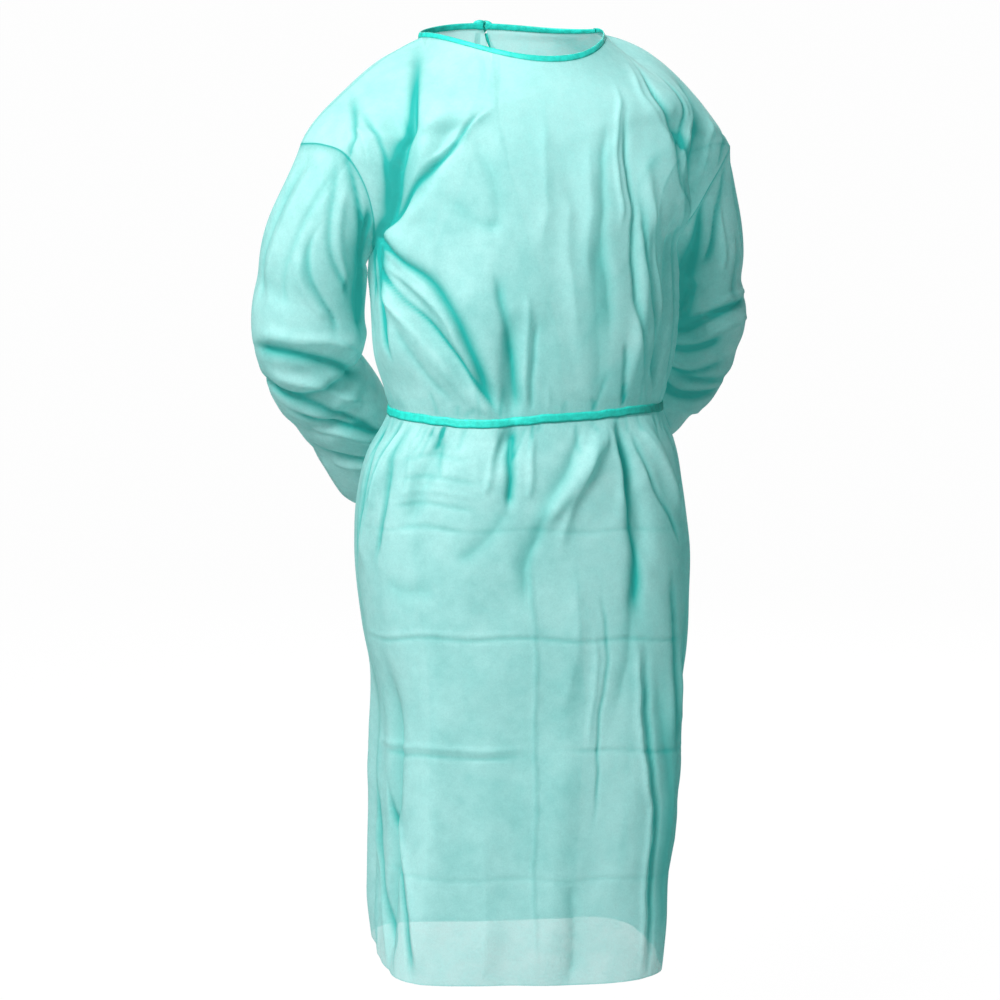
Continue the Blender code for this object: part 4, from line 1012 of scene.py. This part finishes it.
def tailStrip(side, knot, length):
    form, (knotWide, _, knotTall) = tailForm, knotForm["size"]
    start = knot + np.array([side * knotWide / 4, 0.0, -knotTall / 2 * form["knotUnder"] - form["knotGap"]])
    middles, halves = [], []
    for share in np.linspace(0.0, 1.0, form["rows"]):
        across = side * (form["start"] + form["spread"] * share ** form["curve"])
        height = start[2] - length * share
        middle = plainBack(across, min(height, -bodyForm["yokeFade"] * share))
        sway = form["sway"] * math.sin(form["waves"] * math.pi * share + side)
        stand = form["stand"] + form["drift"] * share + form["bow"] * math.sin(math.pi * share)
        hung = float(ease(share / form["leaves"]))
        middle = (middle + np.array([sway, stand, 0.0])) * hung + start * (1.0 - hung)
        middle[2] = height
        turn = form["turn"] * math.sin(form["turns"] * math.pi * share + side)
        middles.append(middle)
        halves.append(np.array([form["width"] / 2, turn, 0.0]) * (1.0 - form["pinch"] * (1.0 - hung)))
    middles, halves = np.array(middles), np.array(halves)
    out = unitVectors(np.cross(np.gradient(middles, axis=0), halves))
    size, crimps, drift = form["crimp"]
    rings = []
    for s, thick in form["section"]:
        crimp = size * np.sin(np.linspace(0, crimps, len(middles)) + drift * s)
        rings.append(middles + halves * s + out * (thick * form["thick"] + crimp)[:, None])
    return np.array(rings)


belt, binding = beltStrip(), neckStrip()
knotPlaces = {place: np.mean(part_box(place + "_knot"), axis=0) for place in ("belt", "neck")}
print("tapes shaped", belt.shape, binding.shape)

pieces = {}
standsFor = {
    "frontPanel": "front", "leftBackPanel": "back_left", "rightBackPanel": "back_right",
    "leftSleeve": "sleeve_left", "rightSleeve": "sleeve_right", "leftCuff": "cuff_left",
    "rightCuff": "cuff_right", "waistTape": "belt", "neckBinding": "neck_binding",
    "waistKnot": "belt_knot", "neckKnot": "neck_knot",
    "leftWaistTail": "belt_tail_left", "rightWaistTail": "belt_tail_right",
    "leftNeckTail": "neck_tail_left", "rightNeckTail": "neck_tail_right",
}


def addGrid(name, grid, tint=None, closedAcross=False, closedDown=False, capEnds=False):
    # a mesh from rows and columns of points, with a value at each point for its darker tint: partly folded
    # and overlapped layers, partly painted shade
    rows, columns = grid.shape[:2]
    lastRow, lastColumn = rows - (0 if closedDown else 1), columns - (0 if closedAcross else 1)
    i, j = np.meshgrid(np.arange(lastRow), np.arange(lastColumn), indexing="ij")
    below, beside = (i + 1) % rows * columns, (j + 1) % columns
    corners = [i * columns + j, i * columns + beside, below + beside, below + j]
    faces = np.stack(corners, axis=-1).reshape(-1, 4).tolist()
    if capEnds:
        faces.append([k * columns for k in range(rows)])
        faces.append([k * columns + columns - 1 for k in range(rows)][::-1])
    mesh = bpy.data.meshes.new(name)
    mesh.from_pydata(grid.reshape(-1, 3).tolist(), [], faces)
    mesh.update()
    folds = np.zeros(rows * columns) if tint is None else tint.reshape(-1)
    mesh.attributes.new("fold", "FLOAT", "POINT").data.foreach_set("value", folds.astype(np.float32))
    mesh.shade_smooth()
    piece = bpy.data.objects.new(name, mesh)
    bpy.context.scene.collection.objects.link(piece)
    return piece


def addCloth(name, cloth, **joins):
    pieces[name] = addGrid(name, cloth["points"], cloth["tint"], **joins)


def addTape(name, grid):
    pieces[name] = addGrid(name, grid, closedDown=True, capEnds=True)


def faceOut(piece, middle):
    # turns the faces so that they look away from the middle of the garment
    mesh = piece.data
    centres, normals = (np.zeros(len(mesh.polygons) * 3) for _ in range(2))
    mesh.polygons.foreach_get("center", centres)
    mesh.polygons.foreach_get("normal", normals)
    if np.sum((centres.reshape(-1, 3) - middle) * normals.reshape(-1, 3)) < 0:
        mesh.flip_normals()


addCloth("frontPanel", front)
for word, side in (("left", 1), ("right", -1)):
    addCloth(word + "BackPanel", backs[side])
    addCloth(word + "Sleeve", sleeves[side], closedAcross=True)
    addCloth(word + "Cuff", cuffs[side], closedAcross=True)
addTape("waistTape", belt)
addTape("neckBinding", binding)
for name, place in (("waistKnot", "belt"), ("neckKnot", "neck")):
    pieces[name] = addGrid(name, knotLoop(knotPlaces[place]), closedAcross=True, closedDown=True)
for word, side in (("left", 1), ("right", -1)):
    addTape(word + "WaistTail", tailStrip(side, knotPlaces["belt"], tailForm["belt"]))
    addTape(word + "NeckTail", tailStrip(side, knotPlaces["neck"], tailForm["neck"]))
for name, piece in pieces.items():
    faceOut(piece, np.array([0.0, 0.0, -0.4]) if "Panel" in name else np.array(piece.bound_box).mean(axis=0))
print("pieces made:", len(pieces), "faces", sum(len(piece.data.polygons) for piece in pieces.values()))


class Socket:
    # a shader socket that takes part in sums
    def __init__(self, tree, output):
        self.tree, self.output = tree, output

    def math(self, operation, a, b):
        node = self.tree.nodes.new("ShaderNodeMath")
        node.operation = operation
        for slot, value in zip(node.inputs, (a, b)):
            if isinstance(value, Socket):
                self.tree.links.new(value.output, slot)
            else:
                slot.default_value = value
        return Socket(self.tree, node.outputs[0])

    def __add__(self, other):
        return self.math("ADD", self, other)

    def __radd__(self, other):
        return self.math("ADD", other, self)

    def __sub__(self, other):
        return self.math("SUBTRACT", self, other)

    def __rsub__(self, other):
        return self.math("SUBTRACT", other, self)

    def __mul__(self, other):
        return self.math("MULTIPLY", self, other)

    def __rmul__(self, other):
        return self.math("MULTIPLY", other, self)

    def clamp(self):
        node = self.tree.nodes.new("ShaderNodeClamp")
        self.tree.links.new(self.output, node.inputs[0])
        return Socket(self.tree, node.outputs[0])


class Shader:
    # one material and its nodes
    def __init__(self, name):
        self.material = bpy.data.materials.new(name)
        self.material.use_nodes = True
        self.tree = self.material.node_tree
        self.tree.nodes.clear()

    def node(self, kind, settings=None, output=0, **sockets):
        # sockets go by name, or by number as i0, i1 and so on
        node = self.tree.nodes.new(kind)
        for key, value in (settings or {}).items():
            setattr(node, key, value)
        for key, value in sockets.items():
            byNumber = key[0] == "i" and key[1:].isdigit()
            slot = node.inputs[int(key[1:]) if byNumber else key.replace("_", " ")]
            if isinstance(value, Socket):
                self.tree.links.new(value.output, slot)
            else:
                slot.default_value = value
        return Socket(self.tree, node.outputs[output])

    def mottle(self, place, noise, stretch):
        # noise whose middle range is stretched to 0..1
        value = self.node("ShaderNodeTexNoise", Vector=place, **noise)
        return self.node("ShaderNodeMapRange", i0=value, i1=stretch[0], i2=stretch[1], i3=0.0, i4=1.0)

    def mixColour(self, factor, a, b):
        return self.node("ShaderNodeMix", {"data_type": "RGBA"}, output=2, i0=factor, i6=a, i7=b)

    def finish(self, shader):
        end = self.tree.nodes.new("ShaderNodeOutputMaterial")
        self.tree.links.new(shader.output, end.inputs["Surface"])
        return self.material


clothFinish = {
    # deep is the colour the per-point tint mixes in: overlapped layers at seams, hems and crowded folds, and
    # painted shade in creases and on sides turned from the light
    "pale": (0.395, 0.760, 0.748, 1.0), "light": (0.60, 0.88, 0.87, 1.0), "deep": (0.0, 0.370, 0.330, 1.0),
    "through": (0.15, 0.68, 0.64, 1.0), "throughShare": 0.45,
    "roughness": 0.62, "sheen": 0.06, "sheenRoughness": 0.4,
    "opacity": 0.81, "foldOpacity": 0.22,
    "cloud": {"Scale": 62.0, "Detail": 3.0, "Roughness": 0.55}, "cloudStretch": (0.34, 0.66),
    "patch": {"Scale": 17.0, "Detail": 2.0}, "patchStretch": (0.32, 0.68),
    "fibre": {"Scale": 280.0, "Detail": 4.0, "Distortion": 1.6}, "fibreStretch": (0.35, 0.65),
    # how much the clouds, patches and fibres change each
    "opacityShares": (0.09, 0.12, 0.06), "colourShares": (0.14, 0.34, 0.10), "bumpShares": (0.4, 0.6),
    "bumpStrength": 0.25, "bumpDepth": 0.0006,
}


def makeCloth():
    how = clothFinish
    cloth = Shader("gownCloth")
    place = cloth.node("ShaderNodeTexCoord", output=3)
    fold = cloth.node("ShaderNodeAttribute", {"attribute_name": "fold"}, output=2).clamp()
    cloud, patch, fibre = (cloth.mottle(place, how[kind], how[kind + "Stretch"])
                           for kind in ("cloud", "patch", "fibre"))
    byCloud, byPatch, byFibre = how["opacityShares"]
    # the per-point tint, partly overlapped layers and partly painted shade, makes the cloth more opaque and
    # its colour deeper
    opacity = (how["opacity"] + (cloud - 0.5) * byCloud + (patch - 0.5) * byPatch + (fibre - 0.5) * byFibre
               + fold * how["foldOpacity"]).clamp()
    byCloud, byPatch, byFibre = how["colourShares"]
    cloudy = (patch * byPatch + cloud * byCloud + fibre * byFibre).clamp()
    colour = cloth.mixColour(fold, cloth.mixColour(cloudy, how["pale"], how["light"]), how["deep"])
    byCloud, byFibre = how["bumpShares"]
    bump = cloth.node("ShaderNodeBump", Height=fibre * byFibre + cloud * byCloud,
                      Strength=how["bumpStrength"], Distance=how["bumpDepth"])
    face = cloth.node("ShaderNodeBsdfPrincipled", Base_Color=colour, Roughness=how["roughness"], Normal=bump,
                      Sheen_Weight=how["sheen"], Sheen_Roughness=how["sheenRoughness"])
    through = cloth.node("ShaderNodeBsdfTranslucent", Color=how["through"])
    body = cloth.node("ShaderNodeMixShader", i0=how["throughShare"], i1=face, i2=through)
    clear = cloth.node("ShaderNodeBsdfTransparent", Color=(1.0, 1.0, 1.0, 1.0))
    return cloth.finish(cloth.node("ShaderNodeMixShader", i0=opacity, i1=clear, i2=body))


tapeFinish = {
    "dark": (0.002, 0.370, 0.305, 1.0), "light": (0.010, 0.560, 0.475, 1.0), "roughness": 0.6,
    "cloud": {"Scale": 150.0, "Detail": 3.0}, "fibre": {"Scale": 620.0, "Detail": 3.0},
    "stretch": (0.35, 0.65), "colourShares": (0.6, 0.3), "bumpShares": (0.5, 0.5),
    "bumpStrength": 0.5, "bumpDepth": 0.0006,
}


def makeTape():
    how = tapeFinish
    tape = Shader("gownTape")
    place = tape.node("ShaderNodeTexCoord", output=3)
    cloud, fibre = (tape.mottle(place, how[kind], how["stretch"]) for kind in ("cloud", "fibre"))
    byCloud, byFibre = how["colourShares"]
    colour = tape.mixColour((cloud * byCloud + fibre * byFibre).clamp(), how["dark"], how["light"])
    byCloud, byFibre = how["bumpShares"]
    bump = tape.node("ShaderNodeBump", Height=fibre * byFibre + cloud * byCloud,
                     Strength=how["bumpStrength"], Distance=how["bumpDepth"])
    return tape.finish(tape.node("ShaderNodeBsdfPrincipled", Base_Color=colour, Roughness=how["roughness"],
                                 Normal=bump))


clothMaterial, tapeMaterial = makeCloth(), makeTape()
for name, piece in pieces.items():
    soft = any(word in name for word in ("Panel", "Sleeve", "Cuff"))
    piece.data.materials.append(clothMaterial if soft else tapeMaterial)
    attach(piece, "root")
    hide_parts(standsFor[name])

studio = {
    "floor": -1.46, "innerRadius": 0.0005, "flatRadius": 5.0, "bowl": 4.0, "rings": (8, 14), "columns": 64,
    "paper": (0.42, 0.42, 0.42, 1.0), "white": 1.05, "whiteShare": 0.93, "air": 0.24,
    # place, aim, size, power
    "lights": {
        "keyLight": ((-2.2, -1.75, 1.7), (0.0, 0.0, -0.45), 1.1, 240.0),
        "fillLight": ((2.6, -2.0, 0.4), (0.0, 0.0, -0.6), 2.2, 4.0),
        "backLight": ((1.8, 3.2, 1.4), (0.0, 0.0, -0.5), 2.6, 95.0),
    },
    "camera": {"azimuth": -22.0, "elevation": 7.0, "distance": 3.2, "target": (-0.020, 0.008, -0.555),
               "lens": 96.1},
}


def addStage():
    # a round floor that curves up into a wide bowl, white to the camera and dull to the gown
    how = studio
    flatRings, bowlRings = how["rings"]
    profile = [(r, how["floor"]) for r in np.linspace(how["innerRadius"], how["flatRadius"], flatRings)]
    for turn in np.linspace(0.0, math.pi / 2, bowlRings)[1:]:
        profile.append((how["flatRadius"] + how["bowl"] * math.sin(turn),
                        how["floor"] + how["bowl"] * (1 - math.cos(turn))))
    around = np.linspace(0.0, 2.0 * math.pi, how["columns"], endpoint=False)
    grid = np.array([[(r * math.cos(a), r * math.sin(a), z) for a in around] for r, z in profile])
    floor = addGrid("studioFloor", grid, closedAcross=True)
    paper = Shader("studioPaper")
    seen = paper.node("ShaderNodeLightPath")
    dull = paper.node("ShaderNodeBsdfDiffuse", Color=how["paper"])
    white = paper.node("ShaderNodeEmission", Color=(1.0, 1.0, 1.0, 1.0), Strength=how["white"])
    floor.data.materials.append(
        paper.finish(paper.node("ShaderNodeMixShader", i0=seen * how["whiteShare"], i1=dull, i2=white)))


def addLight(name, place, aim, size, power):
    data = bpy.data.lights.new(name, "AREA")
    data.size, data.energy = size, power
    light = bpy.data.objects.new(name, data)
    light.location = place
    light.rotation_euler = (Vector(aim) - Vector(place)).to_track_quat("-Z", "Y").to_euler()
    bpy.context.scene.collection.objects.link(light)


def addCamera():
    how = studio["camera"]
    azimuth, elevation = math.radians(how["azimuth"]), math.radians(how["elevation"])
    back = Vector((math.sin(azimuth) * math.cos(elevation), -math.cos(azimuth) * math.cos(elevation),
                   math.sin(elevation)))
    camera = bpy.data.objects.new("camera", bpy.data.cameras.new("camera"))
    camera.data.lens = how["lens"]
    camera.location = Vector(how["target"]) + back * how["distance"]
    camera.rotation_euler = (-back).to_track_quat("-Z", "Y").to_euler()
    bpy.context.scene.collection.objects.link(camera)
    bpy.context.scene.camera = camera


addStage()
for name, light in studio["lights"].items():
    addLight(name, *light)
world = bpy.data.worlds.new("studioAir")
world.use_nodes = True
air = world.node_tree.nodes["Background"]
air.inputs["Color"].default_value = (1.0, 1.0, 1.0, 1.0)
air.inputs["Strength"].default_value = studio["air"]
bpy.context.scene.world = world
bpy.context.scene.view_settings.view_transform = "Standard"
addCamera()
print("studio set")
